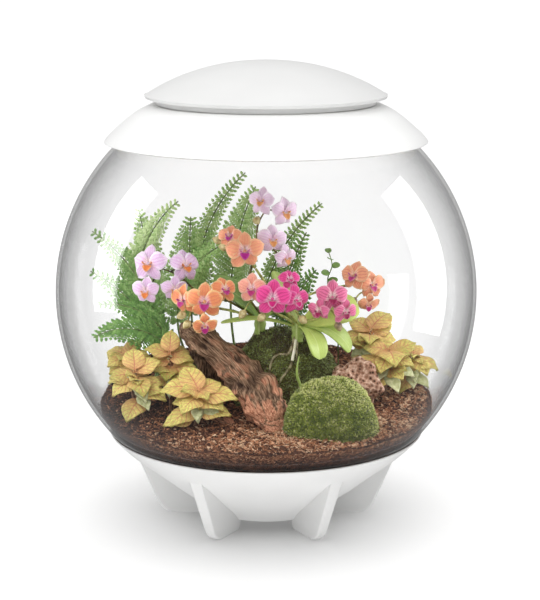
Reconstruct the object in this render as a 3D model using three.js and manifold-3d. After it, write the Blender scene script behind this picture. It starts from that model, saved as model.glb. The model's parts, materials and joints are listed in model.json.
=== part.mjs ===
// A planted globe terrarium: a clear globe in a white finned base, closed by a collar and a lid,
// holding soil, driftwood, moss, a lava rock, ferns, miniature moth orchids and nerve plants.
// Millimetres, +Z up. The origin is on the floor under the middle, and the front faces -Y.
import * as THREE from "three";
import { mergeVertices } from "three/addons/utils/BufferGeometryUtils.js";
import Module from "manifold-3d";

const wasm = await Module();
wasm.setup();
const { Manifold, Mesh: SolidMesh } = wasm;

// ---------------------------------------------------------------- driving dimensions

const CLEARANCE = 0.3; // between pieces that touch
const SIDES_ROUND = 28; // sides of everything turned about the middle
const MERGE = 1e-4;
const SPECK = 1; // mm3
const GRAIN = 0.02; // no step of a surface is smaller

const GLOBE_RADIUS = 200;
const GLOBE_CENTRE = 221.3;
const GLOBE_WALL = 3;
const BASE_RIM_LATITUDE = -41.5; // degrees
const MOUTH_LATITUDE = 50.2;
const GLOBE_LATITUDES = [-90, -73, -57, BASE_RIM_LATITUDE, -27, -13.5, 0, 13.5, 27, 39, MOUTH_LATITUDE];

const BASE_WALL = 1.7;
const BASE_LIFT = 10; // height of the hub's flat underside
const HUB_RADIUS = 61;
const HUB_CORNER = [106, 48]; // where the outer bowl turns in to the hub
const FIN_COUNT = 6;
const FIN_FOOT = 9.6; // thickness at the floor
const FIN_TOP = 13.4; // thickness where it meets the bowl
const FIN_BLEND_HEIGHT = 51;

const COLLAR_BOTTOM = 366.3;
const COLLAR_PROFILE = [[152, 366.3], [147.2, 372], [139.6, 379], [130.4, 387], [119.8, 394.5], [107, 400.5]];
const COLLAR_BORE = 98;
const COLLAR_SEAT = 375.6; // rests on the globe's mouth

const LID_RIM_RADIUS = 114;
const LID_RIM = 408.4;
const LID_TOP = 440.9;
const LID_WALL = 3;
const LID_PLUG_RADIUS = 103;
const LAMP_RADIUS = 88;
const LAMP_THICKNESS = 7;

const SOIL_FRONT = 106.5;
const SOIL_RISE = 22; // from the middle to the back wall
const HOLE_DEPTH = 12;

// ---------------------------------------------------------------- finishes

const finish = (color, roughness, metalness = 0) => ({ color, roughness, metalness });
const FINISHES = {
  whitePlastic: finish("#f1f1f1", 0.32),
  clearAcrylic: { ...finish("#f4f8f8", 0.05), transparent: true, opacity: 0.22 },
  lampDiffuser: finish("#fbfaf4", 0.5),
  coir: finish("#6b4636", 0.95),
  driftwood: finish("#8a6450", 0.85),
  brightMoss: finish("#759438", 0.95),
  darkMoss: finish("#3f4a1e", 0.95),
  lavaRock: finish("#a07462", 0.9),
  fern: finish("#5a8a3a", 0.6),
  orchidLeaf: finish("#8cb04a", 0.42),
  orchidStem: finish("#5d5230", 0.55),
  lilac: finish("#e3bfe2", 0.5),
  palePink: finish("#eccde0", 0.5),
  peach: finish("#f0a878", 0.5),
  orange: finish("#e88a55", 0.5),
  salmon: finish("#f0a088", 0.5),
  magenta: finish("#cf2a7c", 0.5),
  nerveLeaf: finish("#c5c158", 0.6),
  vine: finish("#6f9048", 0.6),
};

// ---------------------------------------------------------------- solids

const vec = (p) => new THREE.Vector3(...p);
const rad = THREE.MathUtils.degToRad;
// A repeatable share from 0 to 1 for a whole number.
const jitter = (n) => {
  const wave = Math.sin(n * 12.9898 + 4.1414) * 43758.5453;
  return wave - Math.floor(wave);
};

/** A closed solid from a closed geometry, its faces turned outward. */
function solidOf(geometry) {
  const bare = geometry.clone();
  bare.deleteAttribute("normal");
  bare.deleteAttribute("uv");
  const merged = mergeVertices(bare, MERGE);
  const corners = merged.attributes.position;
  const faces = [];
  let volume = 0;
  const [a, b, c] = [new THREE.Vector3(), new THREE.Vector3(), new THREE.Vector3()];
  for (let i = 0; i < merged.index.count; i += 3) {
    const [u, v, w] = [0, 1, 2].map((k) => merged.index.getX(i + k));
    if (u === v || v === w || u === w) continue;
    faces.push(u, v, w);
    a.fromBufferAttribute(corners, u);
    b.fromBufferAttribute(corners, v);
    c.fromBufferAttribute(corners, w);
    volume += a.dot(b.cross(c));
  }
  if (volume < 0) faces.reverse();
  return new Manifold(
    new SolidMesh({
      numProp: 3,
      vertProperties: new Float32Array(corners.array),
      triVerts: new Uint32Array(faces),
    }),
  );
}

/** The named mesh of a solid. */
function meshOf(name, solid, look) {
  const { vertProperties, triVerts } = solid.getMesh();
  const geometry = new THREE.BufferGeometry();
  geometry.setAttribute("position", new THREE.BufferAttribute(vertProperties, 3));
  geometry.setIndex(new THREE.BufferAttribute(triVerts, 1));
  geometry.computeVertexNormals();
  const mesh = new THREE.Mesh(geometry, new THREE.MeshStandardMaterial(look));
  mesh.name = name;
  return mesh;
}

/** One body from solids that overlap. A speck or a sealed hollow of a speck's size is dropped. */
function joined(solids) {
  const body = Manifold.union(solids);
  const [main, ...rest] = body.decompose().sort((a, b) => b.volume() - a.volume());
  if (rest.some((piece) => Math.abs(piece.volume()) > SPECK)) throw new Error("a piece hangs loose");
  return rest.length === 0 ? body : main;
}

/** The piece of a solid that holds most of its volume. */
function mainPiece(solid) {
  const pieces = solid.decompose();
  return pieces.reduce((best, piece) => (piece.volume() > best.volume() ? piece : best));
}

const boxesMeet = (a, b, margin) =>
  [0, 1, 2].every((k) => a.min[k] - margin < b.max[k] && b.min[k] - margin < a.max[k]);

const DIAGONAL = 0.7;
const WAYS = [-1, 0, 1];
// The middle, the six axes and the eight corners of a cube about a point.
const ROUND_ABOUT = WAYS.flatMap((x) => WAYS.flatMap((y) => WAYS.map((z) => [x, y, z])))
  .filter((way) => [0, 1, 3].includes(way.filter((c) => c !== 0).length))
  .map((way) => way.map((c) => (way.includes(0) ? c : c * DIAGONAL)));

/** The solid with room of the clearance cut round each neighbour that it meets. */
function clearOf(solid, neighbours) {
  const step = CLEARANCE * 1.2;
  let left = solid;
  for (const other of neighbours) {
    if (!boxesMeet(left.boundingBox(), other.boundingBox(), step)) continue;
    if (left.minGap(other, step) >= CLEARANCE * 0.5) continue;
    for (const offset of ROUND_ABOUT) left = left.subtract(other.translate(offset.map((c) => c * step)));
    left = mainPiece(left);
  }
  return left;
}

/** A solid turned about the vertical axis from a profile of [radius, height] points. */
function turned(profile) {
  const points = profile.map(([r, z]) => new THREE.Vector2(r, z));
  return solidOf(new THREE.LatheGeometry(points, SIDES_ROUND).rotateX(Math.PI / 2));
}

/** Points of a circle about the globe's centre at these latitudes. */
const globeArc = (radius, latitudes) =>
  latitudes.map((degrees) => [
    degrees === -90 ? 0 : radius * Math.cos(rad(degrees)),
    GLOBE_CENTRE + radius * Math.sin(rad(degrees)),
  ]);

/** A stalk of constant radius along a smooth curve through the points. */
function stalk(points, radius, sides = 4, steps = points.length * 2 - 2) {
  const ring = Array.from({ length: sides }, (_, k) => {
    const angle = (2 * Math.PI * k) / sides;
    return new THREE.Vector2(radius * Math.cos(angle), radius * Math.sin(angle));
  });
  const extrudePath = new THREE.CatmullRomCurve3(points.map(vec), false, "centripetal");
  return solidOf(new THREE.ExtrudeGeometry(new THREE.Shape(ring), { steps, extrudePath }));
}

/**
 * A blade with pointed ends: a four-sided lathe of its outline, flattened to a diamond section and
 * bent along an arc. Heading and normal span the plane of the arc, start and bend are its angles.
 */
function blade({ base, heading, normal, length, width, thick, outline, start = 0, bend = 0, fold = 0 }) {
  const side = new THREE.Vector3().crossVectors(normal, heading).normalize();
  const profile = outline.map(([along, half]) => new THREE.Vector2(half, along));
  const geometry = new THREE.LatheGeometry(profile, 4);
  const corners = geometry.attributes.position;
  const point = new THREE.Vector3();
  for (let i = 0; i < corners.count; i += 1) {
    const along = corners.getY(i);
    const across = (corners.getX(i) * width) / 2;
    const face = corners.getZ(i);
    const angle = start + bend * along;
    const run = Math.abs(bend) < 1e-3 ? length * along * Math.cos(start)
      : (length / bend) * (Math.sin(angle) - Math.sin(start));
    const rise = Math.abs(bend) < 1e-3 ? length * along * Math.sin(start)
      : (length / bend) * (Math.cos(start) - Math.cos(angle));
    const lift = Math.abs(face) > 1e-6 ? (Math.sign(face) * thick) / 2 : fold * Math.abs(across);
    point.copy(vec(base))
      .addScaledVector(heading, run - lift * Math.sin(angle))
      .addScaledVector(normal, rise + lift * Math.cos(angle))
      .addScaledVector(side, across);
    corners.setXYZ(i, point.x, point.y, point.z);
  }
  return solidOf(geometry);
}

/** Corners and faces of one closed shell, gathered point by point. */
class Shell {
  corners = [];
  faces = [];

  /** Adds a corner, moved by [direction, distance] pairs, and gives its number. */
  add(at, ...moves) {
    const point = at.clone();
    for (const [direction, distance] of moves) point.addScaledVector(direction, distance);
    return this.corners.push(point.x, point.y, point.z) / 3 - 1;
  }

  quad(a, b, c, d) {
    this.faces.push(a, b, c, a, c, d);
  }

  /** Draws a four-sided wall out through sections to a point, in place of the wall's own face. */
  drawOut(root, sections, tip) {
    let ring = root;
    for (const section of sections) {
      for (let e = 0; e < 4; e += 1) this.quad(ring[e], ring[(e + 1) % 4], section[(e + 1) % 4], section[e]);
      ring = section;
    }
    for (let e = 0; e < 4; e += 1) this.faces.push(ring[e], ring[(e + 1) % 4], tip);
  }

  solid() {
    const geometry = new THREE.BufferGeometry();
    geometry.setAttribute("position", new THREE.Float32BufferAttribute(this.corners, 3));
    geometry.setIndex(this.faces);
    return solidOf(geometry);
  }
}

const OUTLINES = {
  ovate: [[0, 0], [0.14, 0.12], [0.42, 1], [0.74, 0.74], [1, 0]],
  strap: [[0, 0], [0.16, 0.42], [0.55, 1], [0.88, 0.7], [1, 0]],
  leaflet: [[0, 0], [0.45, 1], [1, 0]],
};

const SUNK = 2.4; // how far a leaf's root reaches back into its stem

/** A horizontal unit vector at this azimuth in degrees, from +X towards +Y. */
const headingAt = (azimuth) => new THREE.Vector3(Math.cos(rad(azimuth)), Math.sin(rad(azimuth)), 0);
const UP = new THREE.Vector3(0, 0, 1);

/** A leaf of a rooted plant: it sets out at an azimuth and elevation and bends by so many degrees. */
function leaf(base, { azimuth, elevation, droop, length, width, roll = 0 }, outline, thick, fold) {
  const heading = headingAt(azimuth);
  const normal = UP.clone().applyAxisAngle(heading, rad(roll));
  return blade({
    base: vec(base).addScaledVector(heading, -SUNK).toArray(), heading, normal, length, width, thick, outline, fold,
    start: rad(elevation), bend: -rad(droop),
  });
}

// ---------------------------------------------------------------- vessel

/** The base: a bowl that hugs the globe, closing to a flat hub, on six radial fins. */
function baseSolid() {
  const outer = GLOBE_RADIUS + CLEARANCE + BASE_WALL;
  const inner = GLOBE_RADIUS + CLEARANCE * 1.5;
  const rising = globeArc(outer, [-57, -49, BASE_RIM_LATITUDE]);
  const falling = globeArc(inner, GLOBE_LATITUDES.filter((d) => d <= BASE_RIM_LATITUDE)).reverse();
  rising[0] = [110.5, 51];
  const bowl = turned([
    [0, BASE_LIFT], [HUB_RADIUS, BASE_LIFT], [70, 20], [88, 33], HUB_CORNER, ...rising, ...falling,
  ]);
  const fins = Array.from({ length: FIN_COUNT }, (_, k) => finSolid((360 / FIN_COUNT) * k));
  const socket = turned([[0, inner + 1], ...falling.slice().reverse().slice(1), [150, 240], [0, 240]]);
  return joined([bowl, ...fins.map((fin) => fin.subtract(socket))]);
}

/** One fin, standing at this azimuth: its outline in radius and height, thinner towards the floor. */
function finSolid(azimuth) {
  const bevel = 2;
  const outline = new THREE.Shape();
  outline.moveTo(52, 14);
  outline.lineTo(60, bevel);
  outline.lineTo(95, bevel);
  outline.quadraticCurveTo(107, bevel + 1, 111, 17);
  outline.lineTo(125.5, 57);
  outline.lineTo(112, 57);
  outline.lineTo(78, 36);
  outline.closePath();
  const geometry = new THREE.ExtrudeGeometry(outline, {
    depth: FIN_TOP - 2 * bevel,
    curveSegments: 3,
    bevelThickness: bevel,
    bevelSize: bevel,
    bevelSegments: 1,
  });
  geometry.translate(0, 0, bevel - FIN_TOP / 2).rotateX(Math.PI / 2);
  const corners = geometry.attributes.position;
  for (let i = 0; i < corners.count; i += 1) {
    const share = THREE.MathUtils.clamp(corners.getZ(i) / FIN_BLEND_HEIGHT, 0, 1);
    corners.setY(i, corners.getY(i) * THREE.MathUtils.lerp(FIN_FOOT / FIN_TOP, 1, share));
  }
  return solidOf(geometry.rotateZ(rad(azimuth)));
}

/** The globe: an acrylic sphere of even wall, open at its mouth. */
const globeSolid = () =>
  turned([
    ...globeArc(GLOBE_RADIUS, GLOBE_LATITUDES),
    ...globeArc(GLOBE_RADIUS - GLOBE_WALL, GLOBE_LATITUDES).reverse(),
  ]);

/** The collar: a ring that overhangs the globe's mouth and carries the lid. */
function collarSolid() {
  const [mouthRadius] = globeArc(GLOBE_RADIUS, [MOUTH_LATITUDE])[0];
  const profile = [
    ...COLLAR_PROFILE,
    [COLLAR_BORE, 400.5],
    [COLLAR_BORE, COLLAR_SEAT],
    [mouthRadius + 0.6, COLLAR_SEAT],
    [140.5, COLLAR_BOTTOM - 0.3],
    [149, COLLAR_BOTTOM - 1.2],
  ];
  return turned([...profile, profile[0]]);
}

/** The lid: a shallow dome with a plug ring that stands in the collar. */
function lidSolid() {
  const radii = [LID_RIM_RADIUS, 98, 76, 46, 0];
  const height = (r) =>
    LID_RIM + (LID_TOP - LID_RIM) * (1 - (r / LID_RIM_RADIUS) ** 2.14) ** 0.944;
  const above = radii.map((r) => [r, height(r) + (r === LID_RIM_RADIUS ? 1.6 : 0)]);
  const below = [76, 46, 0].map((r) => [r, height(r) - LID_WALL]).reverse();
  const plug = [[92, height(92) - LID_WALL - 1.5], [92, 400.9], [LID_PLUG_RADIUS, 400.9]];
  return turned([...above, ...below, ...plug, [LID_PLUG_RADIUS, 406.4], [LID_RIM_RADIUS - 1.2, 406.4],
    [LID_RIM_RADIUS, above[0][1]]].filter((p, i) => i === 0 || p !== above[0]));
}

/** The lamp panel: a flat disc held inside the lid's plug ring. */
const lampSolid = () => {
  const top = 400.9 + LAMP_THICKNESS;
  return turned([[0, 401.2], [LAMP_RADIUS, 401.2], [LAMP_RADIUS + 3.4, 402.6], [LAMP_RADIUS + 3.4, top], [0, top]]);
};

// ---------------------------------------------------------------- ground

/** Height of the soil: level in front, rising to the back, with slow mounds. */
function soilHeight(x, y) {
  const t = THREE.MathUtils.clamp((y + 30) / 180, 0, 1);
  const mounds = 1.6 * Math.sin(x * 0.045 + 1) * Math.cos(y * 0.05) + 0.8 * Math.sin(x * 0.11 + y * 0.09);
  return SOIL_FRONT + SOIL_RISE * t * t * (3 - 2 * t) + mounds;
}

/** The soil: what fills the globe up to the soil height. */
function soilSolid() {
  const under = GLOBE_RADIUS - GLOBE_WALL - CLEARANCE * 1.5;
  const cavity = turned([...globeArc(under, GLOBE_LATITUDES.slice(0, 6)), [0, GLOBE_CENTRE]]);
  const rings = [0, 50, 100, 150, 205];
  const sheet = new THREE.LatheGeometry(
    [new THREE.Vector2(0, 0), ...rings.slice().reverse().map((r) => new THREE.Vector2(r, 1))], SIDES_ROUND,
  ).rotateX(Math.PI / 2);
  const corners = sheet.attributes.position;
  for (let i = 0; i < corners.count; i += 1) {
    const top = corners.getZ(i) > 0.5;
    corners.setZ(i, top ? soilHeight(corners.getX(i), corners.getY(i)) : 0);
  }
  return cavity.intersect(solidOf(sheet));
}

/** A round hole in the soil with room for a stalk of this radius. */
function holeAt([x, y], radius, ground = soilHeight(x, y)) {
  const depth = HOLE_DEPTH + 2 * CLEARANCE;
  const reach = 8; // above the ground
  const wide = (radius + 2 * CLEARANCE) / Math.cos(Math.PI / 5);
  const hole = new THREE.CylinderGeometry(wide, wide, depth + reach, 5);
  return solidOf(hole.rotateX(Math.PI / 2).translate(x, y, ground + (reach - depth) / 2));
}

/** A dome on the ground: half an ellipsoid with low lumps, sunk a little into the soil. */
function dome({ at: [x, y], size: [a, b, height], lumps, sink = 6, seed, detail = [16, 8] }) {
  const geometry = new THREE.SphereGeometry(1, ...detail).rotateX(Math.PI / 2);
  const corners = geometry.attributes.position;
  const floor = soilHeight(x, y) - sink;
  for (let i = 0; i < corners.count; i += 1) {
    const [u, v, w] = [corners.getX(i), corners.getY(i), corners.getZ(i)];
    const lump = 1 + lumps * Math.sin(3 * u + seed) * Math.sin(4 * v + 2 * seed) * Math.cos(3 * w + seed);
    const up = w < 0 ? w * 0.25 : w ** 0.85;
    corners.setXYZ(i, x + a * u * lump, y + b * v * lump, floor + (height + sink) * up * lump);
  }
  return solidOf(geometry);
}

/** A gnarled limb along a curve: its half widths and half heights follow the stations, with ridges. */
function limb(points, radii, flat, ridge, seed, sides = 10) {
  const curve = new THREE.CatmullRomCurve3(points.map(vec), false, "centripetal");
  const stations = 9;
  const profile = Array.from({ length: stations + 1 }, (_, k) => {
    const t = k / stations;
    return new THREE.Vector2(k === 0 || k === stations ? 0 : 1, t);
  });
  const geometry = new THREE.LatheGeometry(profile, sides);
  const corners = geometry.attributes.position;
  const widths = new THREE.CatmullRomCurve3(radii.map((r, k) => new THREE.Vector3(k, r, 0)));
  for (let i = 0; i < corners.count; i += 1) {
    const t = THREE.MathUtils.clamp(corners.getY(i), 0, 1);
    const [sx, sz] = [corners.getX(i), corners.getZ(i)];
    const turn = Math.atan2(sx, sz);
    const tangent = curve.getTangent(t);
    const side = new THREE.Vector3().crossVectors(tangent, UP).normalize();
    const normal = new THREE.Vector3().crossVectors(side, tangent);
    const ridges = 1 + ridge * Math.sin(3 * turn + seed + 4 * t) + ridge * 0.6 * Math.cos(5 * turn - 7 * t + seed);
    const radius = widths.getPoint(t).y * ridges * Math.hypot(sx, sz);
    const at = curve.getPoint(t)
      .addScaledVector(side, radius * Math.sin(turn))
      .addScaledVector(normal, radius * flat * Math.cos(turn));
    corners.setXYZ(i, at.x, at.y, at.z);
  }
  return solidOf(geometry);
}

/** The large driftwood: a bark-like root leaning down to the front, with a second foot behind. */
const driftwoodSolid = () =>
  joined([
    limb([[-82, 12, 186], [-58, -2, 172], [-30, -22, 152], [-8, -46, 132], [4, -70, 112], [9, -84, 103]],
      [10, 18, 19, 21, 22, 14, 4], 0.6, 0.14, 1.1, 12),
    limb([[-62, 2, 170], [-58, 12, 148], [-54, 18, 124], [-52, 20, 104]], [9, 14, 13, 14, 12], 0.8, 0.12, 2.3, 8),
  ]);

const shardSolid = () =>
  limb([[-74, -58, 122], [-56, -60, 121], [-40, -62, 113], [-28, -64, 106]], [3, 10, 13, 9, 2], 0.45, 0.15, 0.4, 8);

/** The lava rock: a lumpy ball of 80 faces. */
function rockSolid() {
  const geometry = new THREE.IcosahedronGeometry(1, 1);
  const corners = geometry.attributes.position;
  for (let i = 0; i < corners.count; i += 1) {
    const [x, y, z] = [corners.getX(i), corners.getY(i), corners.getZ(i)];
    const lump = 1 + 0.13 * Math.sin(4 * x + 1) * Math.cos(5 * y) + 0.08 * Math.sin(7 * z + 3 * x);
    corners.setXYZ(i, 86 + 26 * x * lump, -14 + 16 * y * lump, 132 + 24 * z * lump);
  }
  return solidOf(geometry);
}

// ---------------------------------------------------------------- ferns

/**
 * Fronds by name: the root in the soil, the middle and tip of the arching rib, the longest leaflet and
 * the way the frond's upper face looks.
 */
const FRONDS = {
  fern_frond_tall: { root: [-45, 75], middle: [-60, 70, 266], tip: [-19, 56, 329], reach: 19, face: [0.3, -1, 0.2] },
  fern_frond_crown: { root: [-28, 86], middle: [-24, 85, 275], tip: [-10, 80, 312], reach: 29, face: [-0.2, -1, 0.4] },
  fern_frond_upper_left: { root: [-86, 62], middle: [-116, 76, 262], tip: [-86, 72, 298], reach: 22, face: [0, -1, 0.7] },
  fern_frond_middle: { root: [-70, 72], middle: [-76, 62, 250], tip: [-74, 52, 286], reach: 30, face: [0.1, -1, 0.5] },
  fern_frond_left: { root: [-110, 48], middle: [-128, 52, 225], tip: [-172, 48, 272], reach: 17, face: [-0.3, -1, 0.8] },
  fern_frond_left_low: { root: [-101, 42], middle: [-122, 38, 188], tip: [-172, 26, 236], reach: 16, face: [-0.3, -1, 0.9] },
  fern_frond_side: { root: [-90, 37], middle: [-122, 28, 194], tip: [-164, 12, 205], reach: 16, face: [0, -0.7, 1] },
  fern_frond_front: { root: [-82, 26], middle: [-118, 9, 179], tip: [-166, -14, 178], reach: 25, face: [0, -0.8, 1] },
  fern_frond_back: { root: [-90, 72], middle: [-122, 88, 258], tip: [-128, 84, 290], reach: 22, face: [-0.4, -1, 0.3] },
  fern_frond_inner: { root: [-64, 61], middle: [-68, 52, 238], tip: [-34, 43, 262], reach: 20, face: [0.2, -1, 0.6] },
  fern_frond_right: { root: [-8, 84], middle: [22, 72, 258], tip: [56, 58, 298], reach: 11, face: [0.3, -1, 0.4] },
  fern_frond_right_low: { root: [4, 78], middle: [26, 66, 236], tip: [40, 54, 270], reach: 16, face: [0.2, -1, 0.5] },
  fern_frond_deep_left: { root: [-112, 64], middle: [-120, 62, 190], tip: [-150, 56, 222], reach: 20, face: [0, -1, 0.6] },
  fern_frond_deep_right: { root: [14, 70], middle: [28, 65, 196], tip: [50, 54, 232], reach: 18, face: [0, -1, 0.5] },
};
const FROND_STALK = 1.3; // half width
const FROND_THICK = 1.1;
const FROND_PAIRS = 8;
const FROND_BARE = 0.34; // share of the rib below the first leaflets

/** The arching rib: an arc of a circle from the ground through the middle point to the tip. */
function frondRib({ root: [x, y], middle, tip }) {
  const start = new THREE.Vector3(x, y, soilHeight(x, y) + 1);
  const triangle = new THREE.Triangle(start, vec(middle), vec(tip));
  const axis = triangle.getNormal(new THREE.Vector3());
  const [toMiddle, toTip] = [triangle.b.clone().sub(start), triangle.c.clone().sub(start)];
  const centre = toMiddle.clone().cross(toTip).cross(toMiddle).multiplyScalar(toTip.lengthSq())
    .addScaledVector(toTip.clone().cross(toMiddle.clone().cross(toTip)), toMiddle.lengthSq())
    .divideScalar(2 * toMiddle.clone().cross(toTip).lengthSq()).add(start);
  const spoke = start.clone().sub(centre);
  const end = triangle.c.clone().sub(centre);
  const angle = Math.atan2(spoke.clone().cross(end).dot(axis), spoke.dot(end));
  const sweep = angle < 0 ? angle + 2 * Math.PI : angle;
  return {
    at: (t) => spoke.clone().applyAxisAngle(axis, sweep * t).add(centre),
    tangent: (t) => axis.clone().cross(spoke).applyAxisAngle(axis, sweep * t).normalize(),
  };
}

/**
 * One frond: a flat rib that starts in the soil. Above its bare stalk the side walls between its
 * stations are drawn out to leaflets, each with a shoulder and a point.
 */
function frondSolid(spec) {
  const rib = frondRib(spec);
  const shell = new Shell();
  const shares = [0, 0.12, 0.24, ...Array.from({ length: FROND_PAIRS + 1 },
    (_, k) => FROND_BARE + (0.99 - FROND_BARE) * (k / FROND_PAIRS))];
  const stations = shares.map((t) => {
    const tangent = rib.tangent(t);
    const side = new THREE.Vector3().crossVectors(tangent, vec(spec.face)).normalize();
    const normal = new THREE.Vector3().crossVectors(side, tangent).normalize();
    return { at: rib.at(t), tangent, side, normal, half: FROND_STALK * (1 - 0.7 * t * t) };
  });
  stations.unshift({ ...stations[0], at: stations[0].at.clone().setZ(stations[0].at.z - HOLE_DEPTH) });
  const rows = stations.map(({ at, side, normal, half }) =>
    [[-1, 1], [1, 1], [1, -1], [-1, -1]].map(([u, v]) =>
      shell.add(at, [side, u * half], [normal, (v * FROND_THICK) / 2])));
  for (let k = 0; k + 1 < rows.length; k += 1) {
    const [low, high] = [rows[k], rows[k + 1]];
    const pair = k - (rows.length - 1 - FROND_PAIRS);
    shell.quad(low[0], low[1], high[1], high[0]);
    shell.quad(low[2], low[3], high[3], high[2]);
    const walls = [[-1, [low[0], high[0], high[3], low[3]]], [1, [high[1], low[1], low[2], high[2]]]];
    for (const [way, wall] of walls) {
      if (pair < 0) shell.quad(...wall);
      else leafletOnWall(shell, wall, way, stations[k], stations[k + 1], spec.reach, (pair + 0.5) / FROND_PAIRS);
    }
  }
  const [foot, end] = [rows[0], rows[rows.length - 1]];
  shell.quad(foot[1], foot[0], foot[3], foot[2]);
  shell.quad(end[0], end[1], end[2], end[3]);
  return shell.solid();
}

/** Draws one leaflet out of the rib's wall between two stations, longest below the middle. */
function leafletOnWall(shell, wall, way, low, high, longest, grown) {
  const reach = longest * Math.min(1, 0.55 + 1.6 * grown) * (1 - 0.86 * grown ** 2.2);
  const root = low.at.clone().lerp(high.at, 0.5);
  const out = low.side.clone().multiplyScalar(way).addScaledVector(low.tangent, 0.5).normalize();
  const shoulders = [low, high].map(({ at, side }) => at.clone().addScaledVector(side, way * reach * 0.5));
  const half = shoulders[0].distanceTo(shoulders[1]) * 0.34;
  const corners = [[-1, 1], [1, 1], [1, -1], [-1, -1]].map(([a, v]) =>
    [[out, reach * 0.5], [low.tangent, -way * a * half],[low.normal, (v * FROND_THICK) / 2 - reach * 0.03]]);
  const section = corners.map((moves) => shell.add(root, ...moves));
  shell.drawOut(wall, [section], shell.add(root, [out, reach], [low.normal, -reach * 0.12]));
}

// ---------------------------------------------------------------- orchids

const MOUND = { at: [20, 16], size: [52, 46, 70], lumps: 0.05, seed: 0.7, detail: [18, 9] };
const CROWN_RADIUS = 6;
// Each orchid: the middle of its crown, and its strap leaves.
const ORCHIDS = {
  orchid_plant_right: {
    crown: [30, -8, 190],
    leaves: [
      { azimuth: 28, elevation: 62, droop: 62, length: 64, width: 31, roll: -12 },
      { azimuth: 6, elevation: 42, droop: 20, length: 46, width: 15, roll: 10 },
      { azimuth: -18, elevation: 24, droop: 96, length: 62, width: 27, roll: 14 },
      { azimuth: -58, elevation: 18, droop: 92, length: 54, width: 22, roll: -10 },
      { azimuth: 186, elevation: 22, droop: 34, length: 74, width: 15, roll: 0 },
      { azimuth: 148, elevation: 72, droop: 26, length: 60, width: 21, roll: 8 },
    ],
    rootsToward: [-96, -128, 210],
  },
  orchid_plant_left: {
    crown: [-6, 20, 188],
    leaves: [
      { azimuth: 192, elevation: 68, droop: 40, length: 76, width: 36, roll: 12 },
      { azimuth: 158, elevation: 58, droop: 60, length: 58, width: 28, roll: 0 },
      { azimuth: 96, elevation: 34, droop: 74, length: 62, width: 28, roll: 0 },
      { azimuth: 52, elevation: 48, droop: 66, length: 56, width: 26, roll: 0 },
    ],
    rootsToward: [170, 130],
  },
};

/** Height of the mound's dome over a place, from the same formula as its solid without the lumps. */
function moundHeight(x, y) {
  const { at, size } = MOUND;
  const out = Math.min(1, Math.hypot((x - at[0]) / size[0], (y - at[1]) / size[1]));
  return soilHeight(...at) - 6 + (size[2] + 6) * Math.sqrt(1 - out * out) ** 0.85;
}

/** An orchid: a crown stub standing in the mound, strap leaves, and air roots down the mound's side. */
function orchidSolid({ crown, leaves, rootsToward }) {
  const [x, y, z] = crown;
  const stub = stalk([[x, y, z - 16], [x, y, z - 8], [x, y, z + 3]], CROWN_RADIUS, 6, 2);
  const straps = leaves.map((spec) => {
    const rim = headingAt(spec.azimuth).multiplyScalar(CROWN_RADIUS * 0.6);
    return leaf([x + rim.x, y + rim.y, z - 2], spec, OUTLINES.strap, 2.2, 0.16);
  });
  const roots = rootsToward.map((azimuth, k) => {
    const way = headingAt(azimuth);
    const path = [[x, y, z - 3]];
    for (let step = 1; step <= 3; step += 1) {
      const out = CROWN_RADIUS + step * (9 + 2 * jitter(k + 3));
      const [px, py] = [x + way.x * out, y + way.y * out];
      path.push([px, py, Math.max(moundHeight(px, py), soilHeight(px, py)) + 4.2]);
    }
    return stalk(path, 1.5, 3, 5);
  });
  return joined([stub, ...straps, ...roots]);
}

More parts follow.
